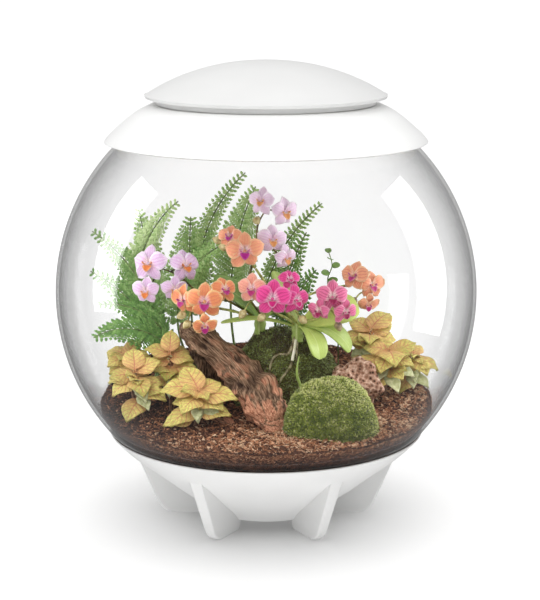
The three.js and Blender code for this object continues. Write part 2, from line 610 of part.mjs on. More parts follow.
/**
 * Sprays by name: the finish, the flower spike from its foot at a crown, and the blooms. Beyond the
 * last stem point the rachis goes on, which carries the blooms and has their colour.
 */
const SPRAYS = {
  lilac: {
    look: "lilac", stem: [[-9.3, 16.6, 189.5], [-12, 10.5, 194], [-38, 2, 212], [-68, -6, 224]],
    rachis: [[-86, -10, 240], [-100, -12, 246]], buds: [],
    blooms: [
      { at: [-110, -24, 253], azimuth: -105, tilt: 10, size: 34 }, { at: [-77, -16, 249], azimuth: -62, tilt: 18, size: 32 },
      { at: [-113, -30, 228], azimuth: -98, tilt: -5, size: 27 }, { at: [-86, -26, 229], azimuth: -80, tilt: -10, size: 26 },
    ],
  },
  pale: {
    look: "palePink", stem: [[-2.4, 16.4, 189.5], [-5, 10, 196], [-18, -6, 222], [-9, 3, 262]],
    rachis: [[-8, 7, 284], [0, 7, 300]], buds: [[-9, -2, 290]],
    blooms: [
      { at: [-4, -4, 309], azimuth: -110, tilt: 15, size: 26 }, { at: [17, 0, 298], azimuth: -60, tilt: 0, size: 29 },
      { at: [6, -8, 273], azimuth: -80, tilt: 0, size: 28 }, { at: [18, -6, 255], azimuth: -50, tilt: -10, size: 25 },
    ],
  },
  peach: {
    look: "peach", stem: [[25.8, -8.8, 191.5], [20, -12, 202], [8, -18, 220], [-10, -14, 246]],
    rachis: [[-20, -14, 258], [-29, -4, 264]], buds: [[-46, -8, 272], [-40, -12, 266]],
    blooms: [
      { at: [-20, -28, 266], azimuth: -88, tilt: 5, size: 35 }, { at: [-34, -12, 276], azimuth: -105, tilt: 30, size: 25 },
    ],
  },
  orange: {
    look: "orange", stem: [[-5.9, 15.6, 189.5], [-10, 6, 193], [-30, -12, 204], [-44, -26, 210]],
    rachis: [[-56, -34, 214], [-68, -28, 213]], buds: [[-79, -38, 206], [-74, -40, 198]],
    blooms: [
      { at: [-57, -49, 222], azimuth: -92, tilt: 0, size: 35 }, { at: [-77, -38, 221], azimuth: -125, tilt: 0, size: 28 },
      { at: [-39, -40, 231], azimuth: -66, tilt: 20, size: 26 }, { at: [-57, -52, 200], azimuth: -85, tilt: -32, size: 25 },
    ],
  },
  salmon: {
    look: "salmon", stem: [[26.9, -12.3, 191.5], [20, -17, 198], [4, -24, 208], [-8, -30, 218]],
    rachis: [[-12, -32, 226]], buds: [[-22, -36, 207]],
    blooms: [{ at: [-13, -40, 232], azimuth: -100, tilt: 5, size: 28 }],
  },
  magenta: {
    look: "magenta", stem: [[30.5, -12.6, 191.5], [24, -26, 203], [16, -32, 211]],
    rachis: [[14, -34, 218], [20, -30, 225]], buds: [[-4, -42, 205], [34, -42, 203]],
    blooms: [
      { at: [6, -47, 224], azimuth: -92, tilt: 5, size: 34 }, { at: [28, -38, 221], azimuth: -62, tilt: 0, size: 28 },
      { at: [22, -28, 238], azimuth: -75, tilt: 32, size: 21 },
    ],
  },
  rose: {
    look: "magenta", stem: [[33.8, -11, 191.5], [38, -18, 196], [46, -29, 200], [58, -28, 208]],
    rachis: [[62, -26, 216]], buds: [[68, -30, 194]],
    blooms: [
      { at: [62, -34, 223], azimuth: -85, tilt: 5, size: 32 }, { at: [50, -38, 211], azimuth: -112, tilt: -10, size: 22 },
      { at: [74, -35, 209], azimuth: -68, tilt: -12, size: 24 },
    ],
  },
  right_peach: {
    look: "peach", stem: [[29.6, -4.2, 191], [29.4, 1, 195], [30, 12, 202], [34, 26, 208], [58, 33, 216], [80, 24, 222]],
    rachis: [[91, 18, 224], [98, 15, 217]], buds: [[84, 6, 210]],
    blooms: [
      { at: [85, 6, 235], azimuth: -120, tilt: 20, size: 30 }, { at: [101, 7, 226], azimuth: -62, tilt: 5, size: 27 },
      { at: [98, 3, 208], azimuth: -80, tilt: -30, size: 22 },
    ],
  },
};
const SPIKE_RADIUS = 1.4;
const RACHIS_RADIUS = 1.2;
const BUD_RADIUS = 4.6;
// Round a bloom from straight up: its sepals and petals by turns, with length and width as shares of
// the size, the depth at which they stand, and the sections of their outline.
const SEPAL = { length: 0.5, width: 0.34, depth: -1.2, sections: [[0.55, 1]] };
const PETAL = { length: 0.52, width: 0.5, depth: 1.4, sections: [[0.52, 0.84], [0.82, 0.78]] };
const SMALL_PETAL = { ...PETAL, sections: [[0.6, 0.84]] };
const SMALL_BLOOM = 27;
const TEPAL_THICK = 1.2;
const BLOOM_HEART = 2.4; // radius of the five-sided middle

/** A bloom facing an azimuth and tilt: a five-sided heart with a lip, its walls drawn out to tepals. */
function bloomSolid({ at, azimuth, tilt, size }) {
  const facing = headingAt(azimuth).multiplyScalar(Math.cos(rad(tilt))).addScaledVector(UP, Math.sin(rad(tilt)));
  const upright = UP.clone().addScaledVector(facing, -facing.z).normalize();
  const centre = vec(at);
  const shell = new Shell();
  const around = (turn) => upright.clone().applyAxisAngle(facing, rad(turn));
  const half = TEPAL_THICK / 2;
  const front = shell.add(centre, [facing, size * 0.17], [upright, -size * 0.09]); // the lip's point
  const back = shell.add(centre, [facing, -2.4]);
  const petal = size < SMALL_BLOOM ? SMALL_PETAL : PETAL;
  const tepals = [SEPAL, petal, SEPAL, SEPAL, petal];
  const corners = tepals.map((_, k) => [half, -half].map((v) =>
    shell.add(centre, [around(72 * k - 36), BLOOM_HEART], [facing, v])));
  tepals.forEach(({ length, width, depth, sections }, k) => {
    const [[lowTop, lowUnder], [highTop, highUnder]] = [corners[k], corners[(k + 1) % 5]];
    shell.faces.push(front, lowTop, highTop, back, highUnder, lowUnder);
    const out = around(72 * k);
    const across = around(72 * k + 90);
    const rings = sections.map(([share, wide]) =>
      [[1, 1], [-1, 1], [-1, -1], [1, -1]].map(([a, v]) => shell.add(
        centre, [out, size * length * share], [across, (a * wide * width * size) / 2], [facing, depth + v * half])));
    const tip = shell.add(centre, [out, size * length], [facing, depth * 0.4]);
    shell.drawOut([highTop, lowTop, lowUnder, highUnder], rings, tip);
  });
  return shell.solid();
}

/** A spray's blooms and buds with the rachis and the flower stalks that carry them. */
function bloomsSolid({ stem, rachis: beyond, blooms, buds }) {
  const end = vec(stem.at(-1));
  const onward = end.clone().sub(vec(stem.at(-2))).setLength(CLEARANCE * 1.5);
  const rachis = [end.add(onward).toArray(), ...beyond];
  const curve = new THREE.CatmullRomCurve3(rachis.map(vec), false, "centripetal");
  const joints = 3;
  const parts = [stalk(rachis, RACHIS_RADIUS, 4, joints)];
  const carried = (at) => [1 / joints, 2 / joints, 0.97].map((t) => curve.getPointAt(t))
    .reduce((a, b) => (a.distanceTo(at) < b.distanceTo(at) ? a : b)).toArray();
  for (const bloom of blooms) {
    const behind = vec(bloom.at).addScaledVector(headingAt(bloom.azimuth), -5);
    const back = vec(bloom.at).addScaledVector(headingAt(bloom.azimuth), -0.8);
    parts.push(bloomSolid(bloom), stalk([carried(behind), behind.toArray(), back.toArray()], 1, 3, 2));
  }
  for (const bud of buds) {
    const middle = vec(carried(vec(bud))).lerp(vec(bud), 0.5).add(new THREE.Vector3(0, 1, 3));
    parts.push(
      solidOf(new THREE.OctahedronGeometry(BUD_RADIUS).scale(0.85, 0.85, 1.1).translate(...bud)),
      stalk([carried(vec(bud)), middle.toArray(), bud], 1, 3, 2),
    );
  }
  return joined(parts);
}

/** A flower spike below its blooms. */
const spikeSolid = ({ stem }) => stalk(stem, SPIKE_RADIUS, 5, 6);

// ---------------------------------------------------------------- nerve plants

// Each plant: the foot in the soil, the top of the stem, and its leaves, each by azimuth and elevation
// where it sets out, how far it droops, its length, and how far down the stem it grows as a share.
const NERVE_PLANTS = {
  nerve_plant_front: { foot: [-66, -70], top: [-62, -74, 142], leaves: [
    [118, 58, 46, 36, 0], [48, 42, 60, 33, 0], [4, 30, 66, 42, 0.05], [-118, 12, 56, 33, 0], [168, 44, 86, 44, 0.05],
    [-32, 8, 46, 32, 0.1], [-12, 14, 34, 36, 0.42], [196, 4, 36, 36, 0.5], [-142, 4, 58, 36, 0.42],
  ] },
  nerve_plant_left: { foot: [-116, -38], top: [-124, -42, 154], leaves: [
    [96, 56, 40, 32, 0], [34, 46, 50, 32, 0], [176, 16, 60, 32, 0], [-72, 12, 62, 33, 0], [-146, 4, 62, 32, 0.15],
    [-24, 10, 54, 34, 0.3], [-112, -4, 54, 34, 0.46],
  ] },
  nerve_plant_upper: { foot: [-92, -16], top: [-92, -16, 166], leaves: [
    [88, 68, 30, 27, 0], [162, 44, 60, 30, 0], [-8, 26, 56, 27, 0], [-96, 12, 50, 28, 0.1], [-150, 8, 50, 27, 0.4],
  ] },
  nerve_plant_far_left: { foot: [-128, 0], top: [-136, -2, 160], leaves: [
    [144, 34, 60, 27, 0], [58, 56, 40, 28, 0], [-140, 14, 50, 25, 0.1], [10, 10, 50, 26, 0.35],
  ] },
  nerve_plant_right_back: { foot: [100, 46], top: [103, 43, 174], leaves: [
    [52, 52, 60, 38, 0], [128, 46, 56, 34, 0], [190, 24, 60, 33, 0], [-70, 10, 40, 22, 0.12],
  ] },
  nerve_plant_right: { foot: [116, 20], top: [120, 19, 158], leaves: [
    [-84, 22, 60, 38, 0], [24, 40, 66, 33, 0], [-22, 16, 46, 30, 0.06], [198, 28, 62, 40, 0.1], [-118, -4, 44, 27, 0.45],
    [96, 40, 60, 26, 0.2],
  ] },
  nerve_plant_far_right: { foot: [138, 36], top: [146, 36, 148], leaves: [
    [86, 44, 56, 28, 0], [-62, 6, 56, 30, 0], [-6, 18, 76, 32, 0], [-120, -2, 50, 22, 0.5],
  ] },
};
const NERVE_STEM = 1.7;
const NERVE_LEAF_WIDTH = 0.66; // share of its length
const LEAF_BELOW_TIP = 0.05; // share of the stem above its topmost leaves
const LEAF_STAGGER = 0.045; // share of the stem between leaves of one whorl
const WHORL = 4;

/** A nerve plant: a stem that stands in the soil, with drooping ovate leaves. */
function nerveSolid({ foot: [x, y], top, leaves }) {
  const start = new THREE.Vector3(x, y, soilHeight(x, y));
  const tip = vec(top);
  const below = [x, y, start.z - HOLE_DEPTH];
  const blades = leaves.map(([azimuth, elevation, droop, length, down], k) => {
    const base = tip.clone().lerp(start, down + LEAF_BELOW_TIP + LEAF_STAGGER * (k % WHORL)).toArray();
    return leaf(base, { azimuth, elevation, droop, length, width: length * NERVE_LEAF_WIDTH }, OUTLINES.ovate, 1.5, 0.1);
  });
  return joined([stalk([below, start.toArray(), tip.clone().lerp(start, 0.5).toArray(), top], NERVE_STEM, 5, 4), ...blades]);
}

// ---------------------------------------------------------------- vine

const VINE = { foot: [72, 58], radius: 1, joints: 7, path: [[70, 46, 176], [64, 40, 200], [60, 34, 226], [64, 32, 240], [60, 31, 256]] };

/** The vine: a thin shoot with small leaflets by turns at its upper joints. */
function vineSolid({ foot: [x, y], radius, joints, path }) {
  const ground = soilHeight(x, y);
  const points = [[x, y, ground - HOLE_DEPTH], [x, y, ground - HOLE_DEPTH / 2], [x, y, ground + 4], ...path];
  const curve = new THREE.CatmullRomCurve3(points.map(vec), false, "centripetal");
  const leaflets = [0.66, 0.74, 0.82, 0.9, 0.97].map((share, k) =>
    leaf(curve.getPointAt(share).toArray(), {
      azimuth: 180 * k + 24 * k, elevation: 25, droop: 20, length: 10.5, width: 6.5,
    }, OUTLINES.leaflet, 1, 0));
  return joined([stalk(points, radius, 4, joints), ...leaflets]);
}

// ---------------------------------------------------------------- assembly

const placed = [];
const terrarium = new THREE.Group();

/** Adds a piece, cut clear of all that stands already. */
function place(name, solid, look) {
  const clear = clearOf(solid, placed).asOriginal().simplify(GRAIN);
  placed.push(clear);
  terrarium.add(meshOf(name, clear, look));
}

place("base", baseSolid(), FINISHES.whitePlastic);
place("globe", globeSolid(), FINISHES.clearAcrylic);
place("collar", collarSolid(), FINISHES.whitePlastic);
place("lid", lidSolid(), FINISHES.whitePlastic);
place("lamp_panel", lampSolid(), FINISHES.lampDiffuser);

const holes = [
  ...Object.values(FRONDS).map(({ root }) => holeAt(root, FROND_STALK)),
  ...Object.values(NERVE_PLANTS).map(({ foot }) => holeAt(foot, NERVE_STEM)),
  holeAt(VINE.foot, VINE.radius),
];
const soil = soilSolid();
const ground = soil.translate([0, 0, CLEARANCE]);
place("soil", soil.subtract(Manifold.union(holes)), FINISHES.coir);

const crownHoles = Object.values(ORCHIDS).map(({ crown: [x, y, z] }) => {
  const room = new THREE.CylinderGeometry(CROWN_RADIUS + 0.6, CROWN_RADIUS + 0.6, 40, 6);
  return solidOf(room.rotateX(Math.PI / 2).translate(x, y, z - 16.4 + 20));
});
const driftwood = mainPiece(driftwoodSolid().subtract(ground));
place("moss_mound", mainPiece(dome(MOUND).subtract(ground)).subtract(Manifold.union(crownHoles)), FINISHES.darkMoss);
place("driftwood", driftwood, FINISHES.driftwood);
place("driftwood_shard", mainPiece(shardSolid().subtract(ground)), FINISHES.driftwood);
place("moss_cushion", mainPiece(dome({
  at: [60, -82], size: [44, 35, 50], lumps: 0.06, seed: 2.2, sink: 4,
}).subtract(ground)), FINISHES.brightMoss);
place("lava_rock", mainPiece(rockSolid().subtract(ground)), FINISHES.lavaRock);

for (const [name, plant] of Object.entries(ORCHIDS)) place(name, orchidSolid(plant), FINISHES.orchidLeaf);
for (const [name, spray] of Object.entries(SPRAYS)) {
  place(`orchid_spike_${name}`, spikeSolid(spray), FINISHES.orchidStem);
  place(`orchid_blooms_${name}`, bloomsSolid(spray), FINISHES[spray.look]);
}
for (const [name, plant] of Object.entries(NERVE_PLANTS)) place(name, nerveSolid(plant), FINISHES.nerveLeaf);
place("vine", vineSolid(VINE), FINISHES.vine);
for (const [name, frond] of Object.entries(FRONDS)) place(name, frondSolid(frond), FINISHES.fern);

export default terrarium;
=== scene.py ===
"""Dresses the planted globe terrarium: a clear globe on a white finned base, closed by a collar and a
lid, with its soil, driftwood, moss, lava rock, ferns, miniature moth orchids and nerve plants.

Lengths in this script are millimetres and become metres where a mesh is made. +Z is up, the origin
is on the floor under the middle, and the front faces -Y.
"""

from __future__ import annotations

import itertools
import json
import logging
import math
from collections.abc import Callable, Sequence
from dataclasses import dataclass, field
from enum import Enum
from typing import ClassVar

import bmesh
import bpy
import numpy as np
from mathutils import Matrix, Vector

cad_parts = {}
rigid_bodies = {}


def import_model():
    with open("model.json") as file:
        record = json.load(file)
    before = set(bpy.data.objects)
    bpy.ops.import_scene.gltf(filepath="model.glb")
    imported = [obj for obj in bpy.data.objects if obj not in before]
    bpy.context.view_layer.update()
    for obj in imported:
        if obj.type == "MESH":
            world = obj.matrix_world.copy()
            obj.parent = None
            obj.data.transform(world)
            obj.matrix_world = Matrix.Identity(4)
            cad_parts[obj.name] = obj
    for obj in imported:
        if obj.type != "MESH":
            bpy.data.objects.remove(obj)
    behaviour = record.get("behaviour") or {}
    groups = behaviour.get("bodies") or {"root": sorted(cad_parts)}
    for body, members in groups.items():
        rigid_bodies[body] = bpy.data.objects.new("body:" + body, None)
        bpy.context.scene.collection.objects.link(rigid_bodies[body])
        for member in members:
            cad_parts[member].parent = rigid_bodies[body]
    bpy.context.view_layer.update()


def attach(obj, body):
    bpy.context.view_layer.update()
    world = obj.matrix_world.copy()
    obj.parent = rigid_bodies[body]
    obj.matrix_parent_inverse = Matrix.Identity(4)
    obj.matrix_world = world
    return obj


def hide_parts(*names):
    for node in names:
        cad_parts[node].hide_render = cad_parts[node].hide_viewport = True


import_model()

log = logging.getLogger("terrarium")

MM = 0.001
Array = np.ndarray
Pair = tuple[float, float]
Point = tuple[float, float, float]
UP = np.array([0.0, 0.0, 1.0])
GLOBE_RADIUS = 200.0
GLOBE_HEIGHT = 221.3
GLOBE_CENTRE = GLOBE_HEIGHT * UP


# --- numbers


def unit(vectors: Array) -> Array:
    """Vectors of length 1 along the last axis."""
    return vectors / np.maximum(np.linalg.norm(vectors, axis=-1, keepdims=True), 1e-12)


def heading_at(azimuth: float) -> Array:
    """The level unit vector at an azimuth in degrees, from +X towards +Y."""
    return np.array([math.cos(math.radians(azimuth)), math.sin(math.radians(azimuth)), 0.0])


def circle(count: int) -> Array:
    """Turns round a circle in so many even steps, in radians."""
    return np.linspace(0, 2 * math.pi, count, endpoint=False)


def ball(latitude: Array | float, turns: Array) -> Array:
    """Points of the unit sphere, from their latitudes and turns in radians."""
    level = np.cos(latitude)
    return np.stack([level * np.cos(turns), level * np.sin(turns), np.sin(latitude) + 0 * turns], axis=-1)


def shares(rows: int, columns: int) -> tuple[Array, Array]:
    """A sheet's shares along, from 0 to 1 by rows, and across, from -1 to 1 by columns."""
    return np.linspace(0, 1, rows)[:, None], np.linspace(-1, 1, columns)[None]


def length_of(path: Array) -> float:
    """The length of a path."""
    return np.linalg.norm(np.diff(path, axis=0), axis=1).sum()


def ease(low: float, high: float, value: Array) -> Array:
    """From 0 at low to 1 at high by the cubic 3t^2 - 2t^3."""
    t = np.clip((value - low) / (high - low), 0.0, 1.0)
    return t * t * (3 - 2 * t)


def lattice_value(cells: Array, seed: int) -> Array:
    """A repeatable value from 0 to 1 for whole-number places: their numbers times primes, mixed."""
    mixed = cells[..., 0] * 73856093 ^ cells[..., 1] * 19349663 ^ cells[..., 2] * 83492791 ^ seed * 9176
    mixed = (mixed ^ mixed >> 13) * 1274126177 & 0x7FFFFFFF
    return (mixed ^ mixed >> 15) % 65536 / 65535


def noise(points: Array, seed: int = 0) -> Array:
    """Smooth noise from -1 to 1: the eight corner values of a point's unit cell, blended by cubics."""
    cells = np.floor(points).astype(np.int64)
    part = points - cells
    part = part * part * (3 - 2 * part)
    total = np.zeros(points.shape[:-1])
    for corner in itertools.product((0, 1), repeat=3):
        weight = np.prod(np.where(corner, part, 1 - part), axis=-1)
        total += weight * lattice_value(cells + corner, seed)
    return total * 2 - 1


def layered(points: Array, layers: int = 4, seed: int = 0) -> Array:
    """Noise in layers, each of twice the fineness and half the height of the one before."""
    return sum(noise(points * 2**k, seed + k) / 2**k for k in range(layers))


def pits(points: Array, seed: int = 0) -> Array:
    """Distance from each point to the nearest of one random point for each unit cell."""
    cells = np.floor(points).astype(np.int64)
    nearest = np.full(points.shape[:-1], 9.0)
    for step in itertools.product((-1, 0, 1), repeat=3):
        near = cells + step
        shift = np.stack([lattice_value(near, seed + k) for k in range(3)], axis=-1)
        nearest = np.minimum(nearest, np.linalg.norm(near + shift - points, axis=-1))
    return nearest


def smooth_path(points: Sequence[Point], count: int) -> Array:
    """Points of a centripetal curve through the given ones, spaced evenly from knot to knot.

    Between two knots it is a cubic whose slopes come from the square roots of the chords' lengths.
    """
    knots = np.array(points, float)
    knots = np.vstack([2 * knots[0] - knots[1], knots, 2 * knots[-1] - knots[-2]])
    place = np.linspace(0, len(points) - 1, count)
    start = np.minimum(place.astype(int), len(points) - 2)
    t = (place - start)[:, None]
    a, b, c, d = (knots[start + k] for k in range(4))
    before, middle, after = (
        np.sqrt(np.linalg.norm(q - p, axis=1, keepdims=True)) for p, q in ((a, b), (b, c), (c, d))
    )
    leave = ((b - a) / before - (c - a) / (before + middle) + (c - b) / middle) * middle
    arrive = ((c - b) / middle - (d - b) / (middle + after) + (d - c) / after) * middle
    return (
        b * (2 * t**3 - 3 * t**2 + 1)
        + leave * (t**3 - 2 * t**2 + t)
        + c * (3 * t**2 - 2 * t**3)
        + arrive * (t**3 - t**2)
    )


def rounded(corners: Sequence[Pair], radii: float | Sequence[float], steps: int) -> Array:
    """An outline whose inner corners are cut by quadratic curves, each within half of its edges."""
    outline = np.array(corners, float)
    before, at, after = outline[:-2], outline[1:-1], outline[2:]
    wanted = np.broadcast_to(np.asarray(radii, float), (len(at),))
    halves = [0.48 * np.linalg.norm(end - at, axis=1) for end in (before, after)]
    reach = [np.minimum(wanted, half)[:, None] for half in halves]
    start = (at + unit(before - at) * reach[0])[:, None]
    end = (at + unit(after - at) * reach[1])[:, None]
    t = np.linspace(0, 1, steps)[None, :, None]
    curves = (1 - t) ** 2 * start + 2 * t * (1 - t) * at[:, None] + t**2 * end
    return np.vstack([outline[:1], curves.reshape(-1, 2), outline[-1:]])


def carry(path: Array, radii: Array, flat: float = 1.0, reference: Array | None = None) -> Array:
    """A closed skin round a path.

    A ring's point stands off the path by side * r * sin(turn) + normal * r * flat * cos(turn).

    Args:
        path: the middle of each ring.
        radii: one radius for each ring, or for each ring and turn.
        flat: height of a ring as a share of its width.
        reference: what the rings' sides are square to, or the axis that the path follows least.

    Returns:
        Rings of points, with both ends closed to the path.
    """
    tangents = unit(np.gradient(path, axis=0))
    if reference is None:
        reference = np.eye(3)[np.argmin(np.abs(tangents).mean(axis=0))]
    side = unit(np.cross(tangents, reference))
    normal = np.cross(side, tangents)
    turns = circle(radii.shape[1])[None, :, None]
    spokes = side[:, None] * np.sin(turns) + normal[:, None] * flat * np.cos(turns)
    rings = path[:, None] + radii[..., None] * spokes
    ends = [np.broadcast_to(path[end], (1, radii.shape[1], 3)) for end in (0, -1)]
    return np.concatenate([ends[0], rings, ends[1]])


# --- material nodes

Value = float | str | tuple | bpy.types.NodeSocket


def linear(colour: str) -> tuple[float, float, float, float]:
    """Linear red, green, blue and alpha of an sRGB hex colour."""
    parts = [int(colour[k : k + 2], 16) / 255 for k in (1, 3, 5)]
    red, green, blue = (c / 12.92 if c <= 0.04045 else ((c + 0.055) / 1.055) ** 2.4 for c in parts)
    return red, green, blue, 1.0


def add_node(
    tree: bpy.types.NodeTree,
    kind: str,
    inputs: dict[str, Value] | Sequence[Value] = (),
    stops: Sequence[tuple[float, str]] = (),
    output: str | int = 0,
    **settings: object,
) -> bpy.types.NodeSocket | None:
    """Adds a node with its settings and links.

    Args:
        tree: the node tree.
        kind: the node's type, without "ShaderNode".
        inputs: what goes into its inputs, by their names or in their order: a socket, a value, or a
            hex colour. A map range has in order its value, from least, from most, to least, to most.
        stops: places and hex colours of a colour ramp.
        output: the name or number of the output that is wanted.
        settings: the node's own settings.

    Returns:
        That output, or None from a node that has none.
    """
    made = tree.nodes.new("ShaderNode" + kind)
    for name, value in settings.items():
        setattr(made, name, value)
    for key, value in inputs.items() if isinstance(inputs, dict) else enumerate(inputs):
        if isinstance(value, bpy.types.NodeSocket):
            tree.links.new(value, made.inputs[key])
        else:
            made.inputs[key].default_value = linear(value) if isinstance(value, str) else value
    if stops:
        elements = made.color_ramp.elements
        elements.remove(elements[1])
        elements[0].position = stops[0][0]
        elements[0].color = linear(stops[0][1])
        for at, colour in stops[1:]:
            elements.new(at).color = linear(colour)
    return made.outputs[output] if made.outputs else None


def per(size: float) -> float:
    """The scale of a pattern on Object coordinates whose features are so many millimetres wide."""
    return 1 / (size * MM)


class Finish:
    """A finish. Its material is made when it is first asked for, and is named after the finish."""

    name: str

    def material(self) -> bpy.types.Material:
        """The material of this finish."""
        title = f"finish_{self.name}"
        made = bpy.data.materials.get(title)
        if made is None:
            made = bpy.data.materials.new(title)
            made.use_nodes = True
            made.node_tree.nodes.clear()
            self.paint(made.node_tree)
        return made

    def paint(self, tree: bpy.types.NodeTree) -> None:
        """Adds the nodes of the finish."""
        raise NotImplementedError

    @staticmethod
    def objects(tree: bpy.types.NodeTree) -> bpy.types.NodeSocket:
        """Object coordinates, in metres."""
        return add_node(tree, "TexCoord", output="Object")

    @staticmethod
    def places(tree: bpy.types.NodeTree) -> tuple[bpy.types.NodeSocket, ...]:
        """How far along, how far across and the tone, from the piece's "place" attribute."""
        held = add_node(tree, "Attribute", output="Vector", attribute_name="place")
        return tuple(add_node(tree, "SeparateXYZ", [held]).node.outputs)

    @staticmethod
    def skin(
        tree: bpy.types.NodeTree,
        inputs: dict[str, Value],
        height: bpy.types.NodeSocket | None = None,
        depth: float = 0.3,
    ) -> None:
        """Ends a material in one surface.

        Args:
            tree: the node tree.
            inputs: the surface's inputs.
            height: a value from 0 to 1 that raises the surface.
            depth: how far it does so, in millimetres.
        """
        if height is not None:
            bump = add_node(tree, "Bump", {"Height": height, "Distance": depth * MM, "Strength": 1.0})
            inputs = {**inputs, "Normal": bump}
        shader = add_node(tree, "BsdfPrincipled", inputs)
        add_node(tree, "OutputMaterial", {"Surface": shader})


# --- finishes


@dataclass(frozen=True)
class MouldedWhite(Finish):
    """Injection-moulded white ABS: a satin skin, with a grain too fine to see but as a soft gloss."""

    name: str = "moulded_white_abs"
    colour: str = "#f1f1f0"
    shade: str = "#ededec"
    grain: float = 1.6

    def paint(self, tree: bpy.types.NodeTree) -> None:
        """A faint clouding of the colour and a fine grain."""
        at = self.objects(tree)
        cloud = add_node(tree, "TexNoise", {"Vector": at, "Scale": per(60), "Detail": 2.0})
        tint = add_node(tree, "ValToRGB", [cloud], [(0.3, self.shade), (0.7, self.colour)])
        grain = add_node(tree, "TexNoise", {"Vector": at, "Scale": per(self.grain), "Detail": 3.0})
        inputs = {"Base Color": tint, "Roughness": 0.32, "IOR": 1.53}
        self.skin(tree, inputs, grain, 0.015)


@dataclass(frozen=True)
class BlownAcrylic(Finish):
    """Clear blown acrylic: it passes nearly all light, greys where it is seen along the wall, and
    mirrors lamps."""

    name: str = "clear_blown_acrylic"
    clear: str = "#fefefe"
    edge: str = "#d6d6d6"

    def paint(self, tree: bpy.types.NodeTree) -> None:
        """Passing light tinted by the slant of the wall, mixed with a mirror.

        The mirror's share follows Schlick: 0.04 + 0.96 * slant^5, alike on both sides of a face.
        """
        slant = add_node(tree, "LayerWeight", {"Blend": 0.5}, output="Facing")
        steep = add_node(tree, "Math", [slant, 3.0], operation="POWER")
        tint = add_node(tree, "ValToRGB", [steep], [(0.0, self.clear), (1.0, self.edge)])
        through = add_node(tree, "BsdfTransparent", {"Color": tint})
        haze = add_node(tree, "TexNoise", {"Vector": self.objects(tree), "Scale": per(90)})
        gloss = add_node(tree, "MapRange", [haze, 0.0, 1.0, 0.0, 0.02])
        mirror = add_node(tree, "BsdfGlossy", {"Color": "#ffffff", "Roughness": gloss})
        fifth = add_node(tree, "Math", [slant, 5.0], operation="POWER")
        share = add_node(tree, "Math", [fifth, 0.96, 0.04], operation="MULTIPLY_ADD")
        mixed = add_node(tree, "MixShader", [share, through, mirror])
        add_node(tree, "OutputMaterial", {"Surface": mixed})


@dataclass(frozen=True)
class OpalDiffuser(Finish):
    """Opal acrylic with an embossed prism grid, as on a flat lamp panel."""

    name: str = "opal_diffuser"
    colour: str = "#fbfaf4"
    pitch: float = 4.0

    def paint(self, tree: bpy.types.NodeTree) -> None:
        """A small-celled relief over a warm white."""
        at = self.objects(tree)
        cells = add_node(tree, "TexVoronoi", {"Vector": at, "Scale": per(self.pitch), "Randomness": 0.0})
        tint = add_node(tree, "ValToRGB", [cells], [(0.0, self.colour), (1.0, "#efeee6")])
        inputs = {"Base Color": tint, "Roughness": 0.45, "IOR": 1.49}
        self.skin(tree, inputs, cells, 0.4)


@dataclass(frozen=True)
class CoirGround(Finish):
    """Packed coir: dark damp fibre with lighter strands, matt all over."""

    name: str = "packed_coir"
    dark: str = "#2a1810"
    middle: str = "#573526"
    light: str = "#946449"

    def paint(self, tree: bpy.types.NodeTree) -> None:
        """Crumbs of about 4 mm, with finer ones on them, in three browns."""
        at = self.objects(tree)
        crumbs = {"Vector": at, "Scale": per(4.0), "Detail": 6.0, "Roughness": 0.7}
        crumbs = add_node(tree, "TexNoise", crumbs)
        stops = [(0.34, self.dark), (0.52, self.middle), (0.7, self.light)]
        tint = add_node(tree, "ValToRGB", [crumbs], stops)
        self.skin(tree, {"Base Color": tint, "Roughness": 0.95}, crumbs, 1.6)


@dataclass(frozen=True)
class CoirStrand(Finish):
    """Loose coir strands: dry fibre from near black to straw, each strand of one tone."""

    name: str = "loose_coir_strand"
    stops: tuple[tuple[float, str], ...] = (
        (0.0, "#2b170f"),
        (0.3, "#66402f"),
        (0.55, "#9f6847"),
        (0.8, "#c88f68"),
        (1.0, "#e6c3a0"),
    )

    def paint(self, tree: bpy.types.NodeTree) -> None:
        """The strand's tone picks its brown, broken up by a fine noise."""
        tone = self.places(tree)[2]
        grain = add_node(tree, "TexNoise", {"Vector": self.objects(tree), "Scale": per(1.2), "Detail": 2.0})
        shift = add_node(tree, "MapRange", [grain, 0.0, 1.0, -0.2, 0.2])
        mixed = add_node(tree, "Math", [tone, shift], operation="ADD", use_clamp=True)
        tint = add_node(tree, "ValToRGB", [mixed], self.stops)
        self.skin(tree, {"Base Color": tint, "Roughness": 0.9}, grain, 0.2)


